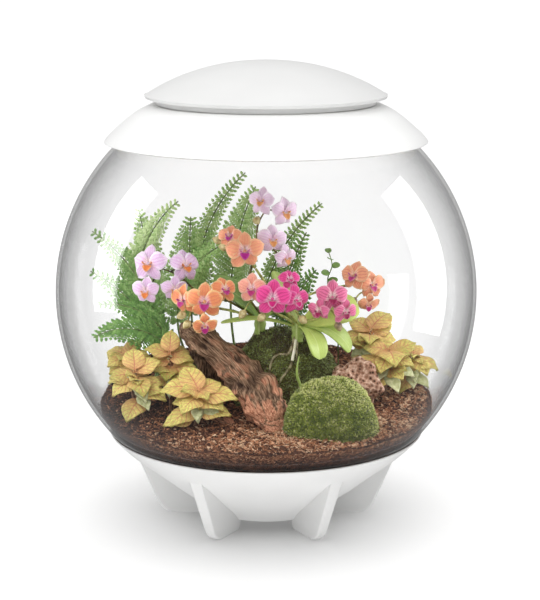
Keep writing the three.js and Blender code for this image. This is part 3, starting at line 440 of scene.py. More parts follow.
@dataclass(frozen=True)
class WeatheredWood(Finish):
    """Weathered root wood: grey-brown skin with long cracks, redder where it has split, with painted shade
    in its cracks and holes.
    """

    name: str = "weathered_root_wood"
    painted_crack_shade: str = "#2c1a13"
    skin_dark: str = "#593f2c"
    skin_light: str = "#be9b7d"
    split: str = "#dba482"
    grain: float = 1.2

    def paint(self, tree: bpy.types.NodeTree) -> None:
        """Noise on the "grain" attribute, stretched ten times lengthways, and painted shade in the holes,
        cracks and notch by the tone.
        """
        held = add_node(tree, "Attribute", output="Vector", attribute_name="grain")
        along = add_node(tree, "Mapping", {"Vector": held, "Scale": (0.1, 1.0, 1.0)})
        fibres = add_node(
            tree, "TexNoise", {"Vector": along, "Scale": 1 / self.grain, "Detail": 5.0, "Roughness": 0.65}
        )
        broad = add_node(tree, "TexNoise", {"Vector": self.objects(tree), "Scale": per(26), "Detail": 3.0})
        # The darkest stop is painted shade in the cracks between fibres.
        stops = [(0.33, self.painted_crack_shade), (0.45, self.skin_dark), (0.68, self.skin_light)]
        skin = add_node(tree, "ValToRGB", [fibres], stops)
        stops = [(0.3, self.painted_crack_shade), (0.42, "#a4664c"), (0.6, self.split), (0.75, "#f2c8aa")]
        torn = add_node(tree, "ValToRGB", [fibres], stops)
        tone = self.places(tree)[2]
        # Painted shade: where the tone falls below 0, in holes, cracks and the notch, the colour darkens
        # towards the crack shade.
        depth = add_node(tree, "MapRange", [tone, -1.1, 0.0, 0.85, 0.0])
        share = add_node(tree, "Math", [broad, tone], operation="ADD")
        share = add_node(tree, "MapRange", [share, 0.7, 0.98])
        tint = add_node(tree, "MixRGB", [share, skin, torn])
        tint = add_node(tree, "MixRGB", [depth, tint, self.painted_crack_shade])
        self.skin(tree, {"Base Color": tint, "Roughness": 0.85}, fibres, 0.7)


@dataclass(frozen=True)
class Moss(Finish):
    """Living moss: each tuft is dark at its foot and bright at its tip, partly older and newer growth and
    partly painted shade between the tufts, in patches of other greens.
    """

    name: str = "cushion_moss"
    foot: str = "#39421a"
    deep: str = "#6b7c2b"
    bright: str = "#b6c256"
    tip: str = "#eceb9e"
    patch: float = 11.0

    def paint(self, tree: bpy.types.NodeTree) -> None:
        """The tone and a patchy noise set the green, and the height on a tuft darkens it towards its foot,
        partly as painted shade.
        """
        along, _, tone = self.places(tree)
        at = self.objects(tree)
        patches = add_node(tree, "TexNoise", {"Vector": at, "Scale": per(self.patch), "Detail": 5.0})
        centred = add_node(tree, "MapRange", [patches, 0.0, 1.0, -0.55, 0.55])
        green = add_node(tree, "Math", [tone, centred], operation="ADD", use_clamp=True)
        colour = add_node(
            tree, "ValToRGB", [green], [(0.05, self.deep), (0.55, self.bright), (1.0, self.tip)]
        )
        # Partly painted shade: the colour darkens to the foot colour towards each tuft's foot.
        tint = add_node(tree, "MixRGB", [along, self.foot, colour])
        self.skin(tree, {"Base Color": tint, "Roughness": 0.9, "Sheen Weight": 0.15})


@dataclass(frozen=True)
class LavaStone(Finish):
    """Porous lava: dusty pink-brown walls round gas holes that are painted dark as shade, quite matt."""

    name: str = "porous_lava"
    painted_hole_shade: str = "#2e1810"
    wall: str = "#9d7159"
    dust: str = "#e2c2ac"

    def paint(self, tree: bpy.types.NodeTree) -> None:
        """Cells of 4 mm darken to their middles as painted shade in the holes, dusted with a pale noise."""
        at = self.objects(tree)
        cells = add_node(tree, "TexVoronoi", {"Vector": at, "Scale": per(4.0)})
        dust = add_node(tree, "TexNoise", {"Vector": at, "Scale": per(2.6), "Detail": 5.0})
        mixed = add_node(tree, "Math", [cells, dust], operation="MULTIPLY")
        # Painted shade: the lowest stop darkens the middles of the cells, where the holes are.
        tint = add_node(
            tree, "ValToRGB", [mixed], [(0.06, self.painted_hole_shade), (0.2, self.wall), (0.47, self.dust)]
        )
        self.skin(tree, {"Base Color": tint, "Roughness": 0.92}, mixed, 1.6)


@dataclass(frozen=True)
class FrondGreen(Finish):
    """Fern leaf: thin and satin, lighter on its ribs, each frond of its own green."""

    name: str = "fern_leaf"
    stops: tuple[tuple[float, str], ...] = (
        (0.0, "#47723f"),
        (0.35, "#72a04e"),
        (0.65, "#a6c67a"),
        (1.0, "#d6e6ae"),
    )

    def paint(self, tree: bpy.types.NodeTree) -> None:
        """The tone picks the green, darkened towards the pinnule's foot and mottled."""
        along, across, tone = self.places(tree)
        mottle = add_node(tree, "TexNoise", {"Vector": self.objects(tree), "Scale": per(5), "Detail": 3.0})
        shift = add_node(tree, "MapRange", [mottle, 0.0, 1.0, -0.28, 0.22])
        lift = add_node(tree, "Math", [along, 0.12, tone], operation="MULTIPLY_ADD")
        green = add_node(tree, "Math", [lift, shift], operation="ADD", use_clamp=True)
        colour = add_node(tree, "ValToRGB", [green], self.stops)
        rib = add_node(tree, "Math", [across], operation="ABSOLUTE")
        inputs = {"Base Color": colour, "Roughness": 0.5, "Specular IOR Level": 0.35}
        self.skin(tree, inputs, rib, 0.2)


@dataclass(frozen=True)
class WaxyLeaf(Finish):
    """Waxy orchid leaf: thick and smooth, from deep green to lime by its tone, which paints the light on
    each leaf, with a paler keel.
    """

    name: str = "orchid_leaf"
    deep: str = "#628843"
    bright: str = "#cbdd78"
    keel: str = "#dbe7ab"
    sheen_roughness: float = 0.34

    def paint(self, tree: bpy.types.NodeTree) -> None:
        """Long faint veins across the blade, a pale line on the keel, and the leaf's painted light by its
        tone, from deep green in shade to lime where light comes through.
        """
        along, across, tone = self.places(tree)
        lines = add_node(tree, "CombineXYZ", [along, across, tone])
        stretched = add_node(tree, "Mapping", {"Vector": lines, "Scale": (1.2, 22.0, 9.0)})
        veins = add_node(tree, "TexNoise", {"Vector": stretched, "Scale": 1.0, "Detail": 3.0})
        shift = add_node(tree, "MapRange", [veins, 0.0, 1.0, -0.2, 0.2])
        green = add_node(tree, "Math", [tone, shift], operation="ADD", use_clamp=True)
        colour = add_node(tree, "ValToRGB", [green], [(0.0, self.deep), (1.0, self.bright)])
        off = add_node(tree, "Math", [across], operation="ABSOLUTE")
        near = add_node(tree, "MapRange", [off, 0.0, 0.07, 0.55, 0.0])
        tint = add_node(tree, "MixRGB", [near, colour, self.keel])
        inputs = {"Base Color": tint, "Roughness": self.sheen_roughness, "IOR": 1.45}
        self.skin(tree, inputs, veins, 0.12)


@dataclass(frozen=True)
class Stalk(Finish):
    """Woody flower stalk or fern rib: smooth skin streaked lengthways, from olive to brown."""

    name: str = "orchid_stalk"
    dark: str = "#3f3320"
    light: str = "#83793f"

    def paint(self, tree: bpy.types.NodeTree) -> None:
        """Blotches of 5 mm between the two colours."""
        blotch = add_node(tree, "TexNoise", {"Vector": self.objects(tree), "Scale": per(5), "Detail": 4.0})
        tint = add_node(tree, "ValToRGB", [blotch], [(0.35, self.dark), (0.65, self.light)])
        self.skin(tree, {"Base Color": tint, "Roughness": 0.5}, blotch, 0.15)


@dataclass(frozen=True)
class Tepal(Finish):
    """Orchid petal: a soft skin that pales towards its edge, with fine veins from its throat, and painted
    light and shade by its tone.
    """

    name: str = "petal"
    throat: str = "#ffffff"
    body: str = "#e6bfe4"
    rim: str = "#f3dcf0"
    vein: str = "#c987c4"
    vein_share: float = 0.4

    def paint(self, tree: bpy.types.NodeTree) -> None:
        """Along the petal from throat to body, across it to the rim, and fan-shaped veins; the tone paints
        light and shade on the whole petal.
        """
        along, across, tone = self.places(tree)
        fan = add_node(tree, "Math", [across, 17.0], operation="MULTIPLY")
        wander = add_node(tree, "TexNoise", {"Vector": self.objects(tree), "Scale": per(6)})
        fan = add_node(tree, "Math", [wander, 5.0, fan], operation="MULTIPLY_ADD")
        wave = add_node(tree, "Math", [fan], operation="SINE")
        lines = add_node(tree, "MapRange", [wave, 0.1, 1.0, 0.0, self.vein_share])
        stops = [(0.1, self.throat), (0.36, self.body), (0.8, self.body), (1.0, self.rim)]
        colour = add_node(tree, "ValToRGB", [along], stops)
        veined = add_node(tree, "MixRGB", [lines, colour, self.vein])
        edge = add_node(tree, "Math", [across], operation="ABSOLUTE")
        edge = add_node(tree, "MapRange", [edge, 0.62, 1.12])
        tint = add_node(tree, "MixRGB", [edge, veined, self.rim])
        # Painted light and shade: the tone makes the whole petal lighter or darker.
        light = add_node(tree, "MapRange", [tone, 0.0, 1.0, 0.86, 1.08])
        painted_light_tint = add_node(tree, "HueSaturation", {"Color": tint, "Value": light})
        inputs = {
            "Base Color": painted_light_tint,
            "Roughness": 0.55,
            "Sheen Weight": 0.25,
            "Specular IOR Level": 0.3,
        }
        self.skin(tree, inputs, wave, 0.06)


SIDE_VEINS = 15.0
VEIN_LEAN = 3.5


@dataclass(frozen=True)
class NettedLeaf(Finish):
    """Nerve plant leaf: lime yellow, quilted between a net of pink veins, brightest at the midrib."""

    name: str = "nerve_leaf"
    green: str = "#9fad45"
    lime: str = "#eee884"
    vein: str = "#c8605a"
    blush: str = "#eda27c"

    def paint(self, tree: bpy.types.NodeTree) -> None:
        """Side veins run where 15 * along - 3.5 * |across| is even, and a net of cells lies between."""
        along, across, tone = self.places(tree)
        off = add_node(tree, "Math", [across], operation="ABSOLUTE")
        lean = add_node(tree, "Math", [off, -VEIN_LEAN], operation="MULTIPLY")
        count = add_node(tree, "Math", [along, SIDE_VEINS, lean], operation="MULTIPLY_ADD")
        saw = add_node(tree, "Math", [count, 1.0], operation="PINGPONG")
        side = add_node(tree, "MapRange", [saw, 0.0, 0.3, 0.8, 0.0])
        mid = add_node(tree, "MapRange", [off, 0.015, 0.07, 0.85, 0.0])
        spot = add_node(tree, "CombineXYZ", [along, across, tone])
        spread = add_node(tree, "Mapping", {"Vector": spot, "Scale": (17.0, 6.0, 40.0)})
        cells = add_node(tree, "TexVoronoi", {"Vector": spread, "Scale": 1.0}, feature="DISTANCE_TO_EDGE")
        net = add_node(tree, "MapRange", [cells, 0.01, 0.1, 0.4, 0.0])
        veins = add_node(tree, "Math", [mid, side], operation="MAXIMUM")
        veins = add_node(tree, "Math", [veins, net], operation="MAXIMUM")
        mottle = add_node(tree, "TexNoise", {"Vector": spread, "Scale": 0.5, "Detail": 3.0})
        shade = add_node(tree, "Math", [mottle, tone], operation="MULTIPLY")
        leaf = add_node(tree, "ValToRGB", [shade], [(0.1, self.green), (0.45, self.lime)])
        warm = add_node(tree, "MapRange", [along, 0.1, 0.8, 0.7, 0.0])
        base = add_node(tree, "MixRGB", [warm, leaf, self.blush])
        tint = add_node(tree, "MixRGB", [veins, base, self.vein])
        sunk = add_node(tree, "Math", [1.0, veins], operation="SUBTRACT")
        inputs = {"Base Color": tint, "Roughness": 0.48, "Specular IOR Level": 0.4}
        self.skin(tree, inputs, sunk, 0.3)


@dataclass(frozen=True)
class DownyUnderside(Finish):
    """Underside of a nerve plant leaf: pale, dull and a little downy."""

    name: str = "nerve_leaf_underside"
    colour: str = "#dbdcae"
    shade: str = "#b9bd84"

    def paint(self, tree: bpy.types.NodeTree) -> None:
        """A soft mottle of 3 mm."""
        mottle = add_node(tree, "TexNoise", {"Vector": self.objects(tree), "Scale": per(3), "Detail": 3.0})
        tint = add_node(tree, "ValToRGB", [mottle], [(0.35, self.shade), (0.65, self.colour)])
        inputs = {"Base Color": tint, "Roughness": 0.7, "Sheen Weight": 0.2}
        self.skin(tree, inputs, mottle, 0.2)


@dataclass(frozen=True)
class PaleFloor(Finish):
    """White product table of matt opal sheet, with a painted glow all round the object and a painted shadow
    under it.
    """

    name: str = "opal_table"
    colour: str = "#fafafa"
    painted_shadow_reach: float = 0.07
    painted_glow_reach: float = 0.19
    painted_glow: float = 0.33

    def paint(self, tree: bpy.types.NodeTree) -> None:
        """A hardly seen clouding, and a painted glow that grows with the distance from the origin, in
        metres, so that the floor under the object stays dark as a painted shadow.
        """
        at = self.objects(tree)
        cloud = add_node(tree, "TexNoise", {"Vector": at, "Scale": per(900)})
        away = add_node(tree, "VectorMath", [at], output="Value", operation="LENGTH")
        # Painted glow and painted shadow: no glow within the shadow's reach, rising to full strength at the
        # glow's reach.
        painted_glow = add_node(tree, "MapRange", [away, self.painted_shadow_reach, self.painted_glow_reach, 0.0, self.painted_glow])
        tint = add_node(tree, "ValToRGB", [cloud], [(0.0, "#f8f8f8"), (1.0, self.colour)])
        inputs = {
            "Base Color": tint,
            "Roughness": 0.9,
            "Specular IOR Level": 0.0,
            "Emission Color": "#ffffff",
            "Emission Strength": painted_glow,
        }
        self.skin(tree, inputs)


WHITE = MouldedWhite()
ACRYLIC = BlownAcrylic()
OPAL = OpalDiffuser()
COIR = CoirGround()
STRANDS = CoirStrand()
WOOD = WeatheredWood()
BRIGHT_MOSS = Moss()
# Painted shade: a darker copy of the moss, for the mound in the shade of the orchid leaves.
PAINTED_SHADE_MOSS = Moss(
    name="painted_shade_moss", foot="#332b16", deep="#4d4021", bright="#7f9040", tip="#bccd7c", patch=13.0
)
LAVA = LavaStone()
FERN = FrondGreen()
FERN_RIB = Stalk("fern_rib", "#4c5c2f", "#86a05a")
ORCHID_LEAF = WaxyLeaf()
STALK = Stalk()
GREEN_STALK = Stalk(name="orchid_green_stalk", dark="#7c7f3c", light="#c0c872")
AIR_ROOT = Stalk(name="air_root", dark="#5c5138", light="#b6ab86")
ROOT_TIP = Stalk(name="young_root", dark="#cfcaa8", light="#f1eedd")
BUD = Stalk(name="orchid_bud", dark="#a8935a", light="#e2d6a2")
DARK_BUD = Stalk(name="orchid_dark_bud", dark="#6d5a48", light="#b09c78")
NERVE_LEAF = NettedLeaf()
NERVE_UNDER = DownyUnderside()
NERVE_STALK = Stalk(name="nerve_stalk", dark="#6b4a38", light="#a98468")
VINE_LEAF = FrondGreen(name="vine_leaf", stops=((0.0, "#46652f"), (0.5, "#6d8f45"), (1.0, "#9db36a")))


# --- meshes


@dataclass(frozen=True)
class Stamp:
    """A small shape that is repeated.

    Its corners are in units of its own frame, and each has its place along and across.
    """

    corners: Array
    faces: Array
    places: Array

    @classmethod
    def spike(cls) -> Stamp:
        """A three-sided spike of radius 1 and height 1, with a closed foot."""
        corners = np.vstack([ball(0.0, np.radians([90, 210, 330])), [[0, 0, 1]]])
        faces = np.array([[0, 1, 3], [1, 2, 3], [2, 0, 3], [0, 2, 1]])
        return cls(corners, faces, np.array([[0.0, 0], [0, 0], [0, 0], [1, 0]]))

    @classmethod
    def strand(cls) -> Stamp:
        """A pointed strand: four sides that swell to radius 1 halfway between ends at -1 and 1."""
        belt = [[1, 0, 0.2], [0, 1, -0.1], [-1, 0, 0.1], [0, -1, -0.2]]
        corners = np.array([[0, 0, -1], *belt, [0, 0, 1]], float)
        around = [(1, 2), (2, 3), (3, 4), (4, 1)]
        faces = [[0, b, a] for a, b in around] + [[5, a, b] for a, b in around]
        return cls(corners, np.array(faces), np.zeros((6, 2)))

    @classmethod
    def pinnule(cls) -> Stamp:
        """A fern's smallest leaf along its third axis: a sheet with a raised middle and a blunt tip."""
        along = np.array([0.0, 0.28, 0.66, 1.0])
        width = np.array([0.42, 1.0, 0.8, 0.12])
        across = np.array([-1.0, 0.0, 1.0])
        side = width[:, None] * across
        lift = 0.22 * (1 - np.abs(across))[None, :] * width[:, None] - 0.25 * along[:, None] ** 2
        corners = np.stack([side, lift, np.repeat(along[:, None], 3, axis=1)], axis=-1).reshape(-1, 3)
        numbers = np.arange(12).reshape(4, 3)
        faces = np.stack([numbers[:-1, :-1], numbers[:-1, 1:], numbers[1:, 1:], numbers[1:, :-1]], axis=-1)
        places = np.stack(np.broadcast_arrays(along[:, None], across[None, :]), axis=-1)
        return cls(corners, faces.reshape(-1, 4), places.reshape(-1, 2))


def frames_along(axes: Array, spins: Array, sizes: Array) -> Array:
    """Three scaled directions for each axis: two across it, turned by the spin, and the axis itself.

    Args:
        axes: unit vectors.
        spins: turns about them, in radians.
        sizes: three lengths for each.

    Returns:
        For each axis its three directions, one to a row.
    """
    helper = np.where(np.abs(axes[:, 2:]) < 0.9, UP, [1.0, 0, 0])
    first = unit(np.cross(helper, axes))
    second = np.cross(axes, first)
    across = first * np.cos(spins)[:, None] + second * np.sin(spins)[:, None]
    return np.stack([across, np.cross(axes, across), axes], axis=1) * sizes[:, :, None]


@dataclass
class Draft:
    """A mesh in the making. Each corner has a place: along, across and tone."""

    corners: list[Array] = field(default_factory=list)
    places: list[Array] = field(default_factory=list)
    faces: list[Array] = field(default_factory=list)
    finishes: list[Array] = field(default_factory=list)
    grains: list[Array] = field(default_factory=list)
    count: int = 0

    def add(
        self, corners: Array, faces: Array, places: Array, finish: int = 0, grain: Array | None = None
    ) -> None:
        """Adds corners with their places, and faces of one size in one finish."""
        self.corners.append(corners)
        self.places.append(places)
        self.faces.append(faces + self.count)
        self.finishes.append(np.full(len(faces), finish, np.int32))
        self.grains.append(np.zeros_like(corners) if grain is None else grain)
        self.count += len(corners)

    def grid(
        self,
        points: Array,
        tone: float | Array = 0.5,
        finish: int = 0,
        closed: bool = False,
        grain: Array | None = None,
    ) -> None:
        """Adds a surface of rows and columns. Along goes from 0 to 1 by rows, across -1 to 1 by columns.

        Args:
            points: rows, columns and the three coordinates.
            tone: one for the surface, or one for each point.
            finish: the number of its finish.
            closed: whether the last column joins the first.
            grain: fibre coordinates of each point, or none.
        """
        rows, columns = points.shape[:2]
        numbers = np.arange(rows * columns).reshape(rows, columns)
        if closed:
            numbers = np.concatenate([numbers, numbers[:, :1]], axis=1)
        corners = [numbers[:-1, :-1], numbers[1:, :-1], numbers[1:, 1:], numbers[:-1, 1:]]
        faces = np.stack(corners, axis=-1).reshape(-1, 4)
        places = np.stack(np.broadcast_arrays(*shares(rows, columns), np.asarray(tone, float)), axis=-1)
        grains = None if grain is None else grain.reshape(-1, 3)
        self.add(points.reshape(-1, 3), faces, places.reshape(-1, 3), finish, grains)

    def turned(self, profile: Array, sides: int) -> None:
        """Adds a surface turned about the vertical axis from radius and height pairs."""
        points = profile[:, None, :1] * ball(0.0, circle(sides)) + profile[:, None, 1:] * UP
        self.grid(points, closed=True)

    def tube(self, path: Array, first: float, last: float, sides: int, finish: int = 0) -> None:
        """Adds a closed tube along a path, whose radius goes evenly from the first to the last."""
        radii = np.repeat(np.linspace(first, last, len(path))[:, None], sides, axis=1)
        self.grid(carry(path, radii), finish=finish, closed=True)

    def stamped(self, stamp: Stamp, origins: Array, frames: Array, tones: Array) -> None:
        """Adds a copy of a stamp for each origin: origin + the corner's numbers times the frame's rows."""
        corners = origins[:, None] + np.einsum("kc,ncd->nkd", stamp.corners, frames)
        shift = (np.arange(len(origins)) * len(stamp.corners))[:, None, None]
        faces = (stamp.faces[None] + shift).reshape(-1, stamp.faces.shape[1])
        places = np.broadcast_to(stamp.places, (len(origins), *stamp.places.shape))
        toned = np.broadcast_to(tones[:, None, None], (*places.shape[:2], 1))
        places = np.concatenate([places, toned], axis=-1)
        self.add(corners.reshape(-1, 3), faces, places.reshape(-1, 3))

    def mesh(self, name: str) -> bpy.types.Mesh:
        """The mesh, in metres, with its places and grains as attributes."""
        made = bpy.data.meshes.new(name)
        corners = np.concatenate(self.corners) * MM
        sizes = np.concatenate([np.full(len(f), f.shape[1], np.int32) for f in self.faces])
        loops = np.concatenate([f.reshape(-1) for f in self.faces]).astype(np.int32)
        made.vertices.add(len(corners))
        made.vertices.foreach_set("co", corners.astype(np.float32).reshape(-1))
        made.loops.add(len(loops))
        made.loops.foreach_set("vertex_index", loops)
        made.polygons.add(len(sizes))
        starts = np.concatenate([[0], np.cumsum(sizes)[:-1]]).astype(np.int32)
        made.polygons.foreach_set("loop_start", starts)
        made.polygons.foreach_set("material_index", np.concatenate(self.finishes))
        made.update(calc_edges=True)
        for title, values in (("place", self.places), ("grain", self.grains)):
            held = made.attributes.new(title, "FLOAT_VECTOR", "POINT")
            held.data.foreach_set("vector", np.concatenate(values).astype(np.float32).reshape(-1))
        return made


@dataclass(frozen=True)
class Shell:
    """How a draft becomes a piece.

    Attributes:
        thick: what a sheet is thickened to, away from its face, or 0 for a closed body.
        sharp: the angle in degrees past which an edge stays crisp.
        under: whether the second finish goes on the far side of a thickened sheet.
    """

    thick: float = 0.0
    sharp: float = 180.0
    under: bool = False


def put(name: str, data: bpy.types.ID) -> bpy.types.Object:
    """Puts a new object with its data into the scene."""
    made = bpy.data.objects.new(name, data)
    bpy.context.scene.collection.objects.link(made)
    return made


def make_piece(
    name: str,
    draft: Draft,
    finishes: Sequence[Finish],
    node: str,
    shell: Shell = Shell(),
) -> None:
    """Makes a draft a piece of the object, which stands for a CAD node.

    Args:
        name: the piece's name.
        draft: its mesh in the making.
        finishes: its finishes, by number.
        node: the CAD node that it stands for.
        shell: how the mesh is closed.
    """
    mesh = draft.mesh(name)
    work = bmesh.new()
    work.from_mesh(mesh)
    bmesh.ops.remove_doubles(work, verts=work.verts, dist=1e-7)
    loose = [vertex for vertex in work.verts if not vertex.link_faces]
    bmesh.ops.delete(work, geom=loose, context="VERTS")
    if not shell.thick:
        bmesh.ops.recalc_face_normals(work, faces=work.faces)
    work.to_mesh(mesh)
    work.free()
    mesh.polygons.foreach_set("use_smooth", np.ones(len(mesh.polygons), bool))
    mesh.set_sharp_from_angle(angle=math.radians(shell.sharp))
    piece = put(name, mesh)
    for finish in finishes:
        mesh.materials.append(finish.material())
    if shell.thick:
        wall = piece.modifiers.new("wall", "SOLIDIFY")
        wall.thickness = shell.thick * MM
        wall.offset = -1.0
        wall.material_offset = 1 if shell.under else 0
        wall.material_offset_rim = 0
    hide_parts(node)
    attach(piece, "root")
    log.info("%s: %d faces, for %s", name, len(mesh.polygons), node)


# --- vessel


@dataclass
class Vessel:
    """The globe, its finned base, the collar, the lid and the lamp panel under it."""

    globe_wall: float = 3.0
    mouth_latitude: float = 50.2
    base_rim_latitude: float = -41.5
    base_outer: float = 202.0
    base_inner: float = 200.45
    hub: tuple[Pair, ...] = ((0, 10), (61, 10), (70, 20), (88, 33), (105.2, 47.2))
    hub_rounding: tuple[float, ...] = (3.0, 14.0, 14.0)
    # Radius and height of the fin's corners: foot, outer edge, along the bowl, hub, inner edge, foot
    fin_outline: tuple[Pair, ...] = (
        (70, 0), (101.5, 0), (129.3, 67), (112.3, 54.3), (95, 44.2), (76, 33), (52, 18), (58, 0), (70, 0)
    )
    fin_rounding: tuple[float, ...] = (14, 1, 1, 3, 3, 3, 3)
    fin_count: int = 6
    fin_foot: float = 9.6
    fin_top: float = 13.4
    fin_blend: float = 51.0
    fin_edge: float = 2.6
    collar_outside: tuple[Pair, ...] = (
        (152, 366.3), (147.2, 372), (139.6, 379), (130.4, 387), (119.8, 394.5), (107, 400.5)
    )
    collar_bore: float = 98.0
    collar_top: float = 400.5
    lid_rim: Pair = (114.0, 408.4)
    lid_rise: float = 32.5
    lid_wall: float = 3.0
    lamp_radius: float = 91.4
    lamp_heights: Pair = (401.2, 407.9)
    sides: int = 168
    crisp: float = 42.0

    def arc(self, radius: float, start: float, end: float, steps: int) -> Array:
        """Radius and height of points on a circle about the globe's centre, by latitude."""
        latitude = np.radians(np.linspace(start, end, steps))
        return np.stack([radius * np.cos(latitude), GLOBE_HEIGHT + radius * np.sin(latitude)], axis=1)

    def moulding(self, name: str, profile: Array, node: str, fins: Sequence[Array] = ()) -> None:
        """Makes a piece of white plastic from a turned profile, and fins that run into it."""
        draft = Draft()
        draft.turned(profile, self.sides)
        for fin in fins:
            draft.grid(fin, closed=True)
        make_piece(name, draft, [WHITE], node, Shell(sharp=self.crisp))

    def globe(self) -> None:
        """The globe: an outer and an inner arc joined round the mouth by a polished edge."""
        outer = self.arc(GLOBE_RADIUS, -90, self.mouth_latitude, 90)
        inner = self.arc(GLOBE_RADIUS - self.globe_wall, self.mouth_latitude, -90, 90)
        edge = rounded([outer[-2], outer[-1], inner[0], inner[1]], 0.9, 4)[1:-1]
        profile = np.vstack([outer[:-1], edge, inner[1:]])
        profile[[0, -1], 0] = 0
        draft = Draft()
        draft.turned(profile, 180)
        make_piece("globe_wall", draft, [ACRYLIC], "globe", Shell(sharp=60))

    def fin(self, azimuth: float) -> Array:
        """One fin: its outline carried across its thickness, drawn in round both edges.

        The thickness at a height is the fin's at the floor, growing evenly to its full one at the
        bowl. The edge is a quarter circle, except where the fin is within the bowl's wall.
        """
        outline = rounded(self.fin_outline, self.fin_rounding, 6)[:-1]
        middle = outline.mean(axis=0)
        ahead = np.roll(outline, -1, axis=0) - np.roll(outline, 1, axis=0)
        inward = unit(np.stack([-ahead[:, 1], ahead[:, 0]], axis=1))
        off_centre = np.hypot(outline[:, 0], outline[:, 1] - GLOBE_HEIGHT)
        inward = inward * np.clip((off_centre - self.base_outer) / 4, 0, 1)[:, None]
        turns = np.radians(np.linspace(0, 90, 6))
        inset = self.fin_edge * (1 - np.cos(turns))
        stand = self.fin_top / 2 - self.fin_edge * (1 - np.sin(turns))
        insets = np.concatenate([[self.fin_edge + 0.5], inset[::-1], inset, [self.fin_edge + 0.5]])
        stands = np.concatenate([[self.fin_top / 2], stand[::-1], -stand, [-self.fin_top / 2]])
        rows = outline[None] + inward[None] * insets[:, None, None]
        closing = np.broadcast_to(middle, rows[:1].shape)
        rows = np.concatenate([closing, rows, closing])
        stands = np.concatenate([stands[:1], stands, stands[-1:]])[:, None]
        share = np.clip(rows[..., 1] / self.fin_blend, 0, 1)
        least = self.fin_foot / self.fin_top
        across = stands * (least + (1 - least) * share)
        heading = heading_at(azimuth)
        side = np.array([-heading[1], heading[0], 0.0])
        return rows[..., :1] * heading + across[..., None] * side + rows[..., 1:] * UP

    def base(self) -> None:
        """The base: a bowl that hugs the globe, closing to a flat hub, on six radial fins."""
        outside = self.arc(self.base_outer, -56.8, self.base_rim_latitude, 16)
        inside = self.arc(self.base_inner, self.base_rim_latitude, -90, 40)
        hub = rounded([*self.hub, tuple(outside[3])], [*self.hub_rounding, 3.0], 6)[:-1]
        rim = rounded([outside[-2], outside[-1], inside[0], inside[1]], 0.6, 4)[1:-1]
        profile = np.vstack([hub, outside[3:-1], rim, inside[1:]])
        profile[-1, 0] = 0
        fins = [self.fin(360 / self.fin_count * k) for k in range(self.fin_count)]
        self.moulding("base_moulding", profile, "base", fins)

    def collar(self) -> None:
        """The collar: a ring that overhangs the globe's mouth and carries the lid."""
        mouth = self.arc(GLOBE_RADIUS, self.mouth_latitude, self.mouth_latitude, 1)[0, 0] + 0.6
        smooth = smooth_path([(r, z, 0) for r, z in self.collar_outside], 30)[:, :2]
        inner = self.collar_bore
        inside = [(inner, self.collar_top), (inner, 375.6), (mouth, 375.6), (140.5, 366.0), (149, 365.1)]
        loop = [*map(tuple, smooth), *inside, *map(tuple, smooth[:2])]
        self.moulding("collar_ring", rounded(loop, 1.2, 4)[1:-1], "collar")

    def lid_height(self, radius: Array) -> Array:
        """Height of the lid's top: rim + rise * (1 - (r / rim radius)^2.14)^0.944."""
        share = np.clip(1 - (radius / self.lid_rim[0]) ** 2.14, 0, 1)
        return self.lid_rim[1] + self.lid_rise * share**0.944

    def lid(self) -> None:
        """The lid: a shallow dome with a soft rim and a plug ring that stands in the collar."""
        radii = self.lid_rim[0] * np.sin(np.radians(np.linspace(0, 90, 40)))
        above = np.stack([radii, self.lid_height(radii)], axis=1)
        above[-1, 1] += 1.4
        under = np.linspace(90, 0, 24)
        below = np.stack([under, self.lid_height(under) - self.lid_wall], axis=1)
        plug = [(112.8, 406.4), (103, 406.4), (103, 400.9), (92, 400.9), (92, below[0, 1] - 1.2)]
        corners = [tuple(above[-2]), tuple(above[-1]), *plug, tuple(below[0]), tuple(below[1])]
        edge = rounded(corners, [1.6, 1.2, 0.8, 0.8, 0.8, 1.0, 1.0], 4)[1:-1]
        self.moulding("lid_dome", np.vstack([above[:-2], edge, below[1:]]), "lid")

    def lamp(self) -> None:
        """The lamp panel: a flat disc with a softened lower edge."""
        low, high = self.lamp_heights
        outline = [(0, low), (self.lamp_radius, low), (self.lamp_radius, high), (0, high)]
        draft = Draft()
        draft.turned(rounded(outline, [3.4, 0.8], 6), 96)
        make_piece("lamp_disc", draft, [OPAL], "lamp_panel", Shell(sharp=self.crisp))

    def build(self) -> None:
        """Builds the vessel."""
        self.base()
        self.globe()
        self.collar()
        self.lid()
        self.lamp()


# --- ground


def soil_height(x: Array | float, y: Array | float) -> Array:
    """Height of the soil: level in front, rising 22 mm to the back, with slow mounds."""
    rise = 22 * ease(-30, 150, np.asarray(y, float))
    mounds = 1.6 * np.sin(np.multiply(x, 0.045) + 1) * np.cos(np.multiply(y, 0.05))
    return 106.5 + rise + mounds + 0.8 * np.sin(np.multiply(x, 0.11) + np.multiply(y, 0.09))


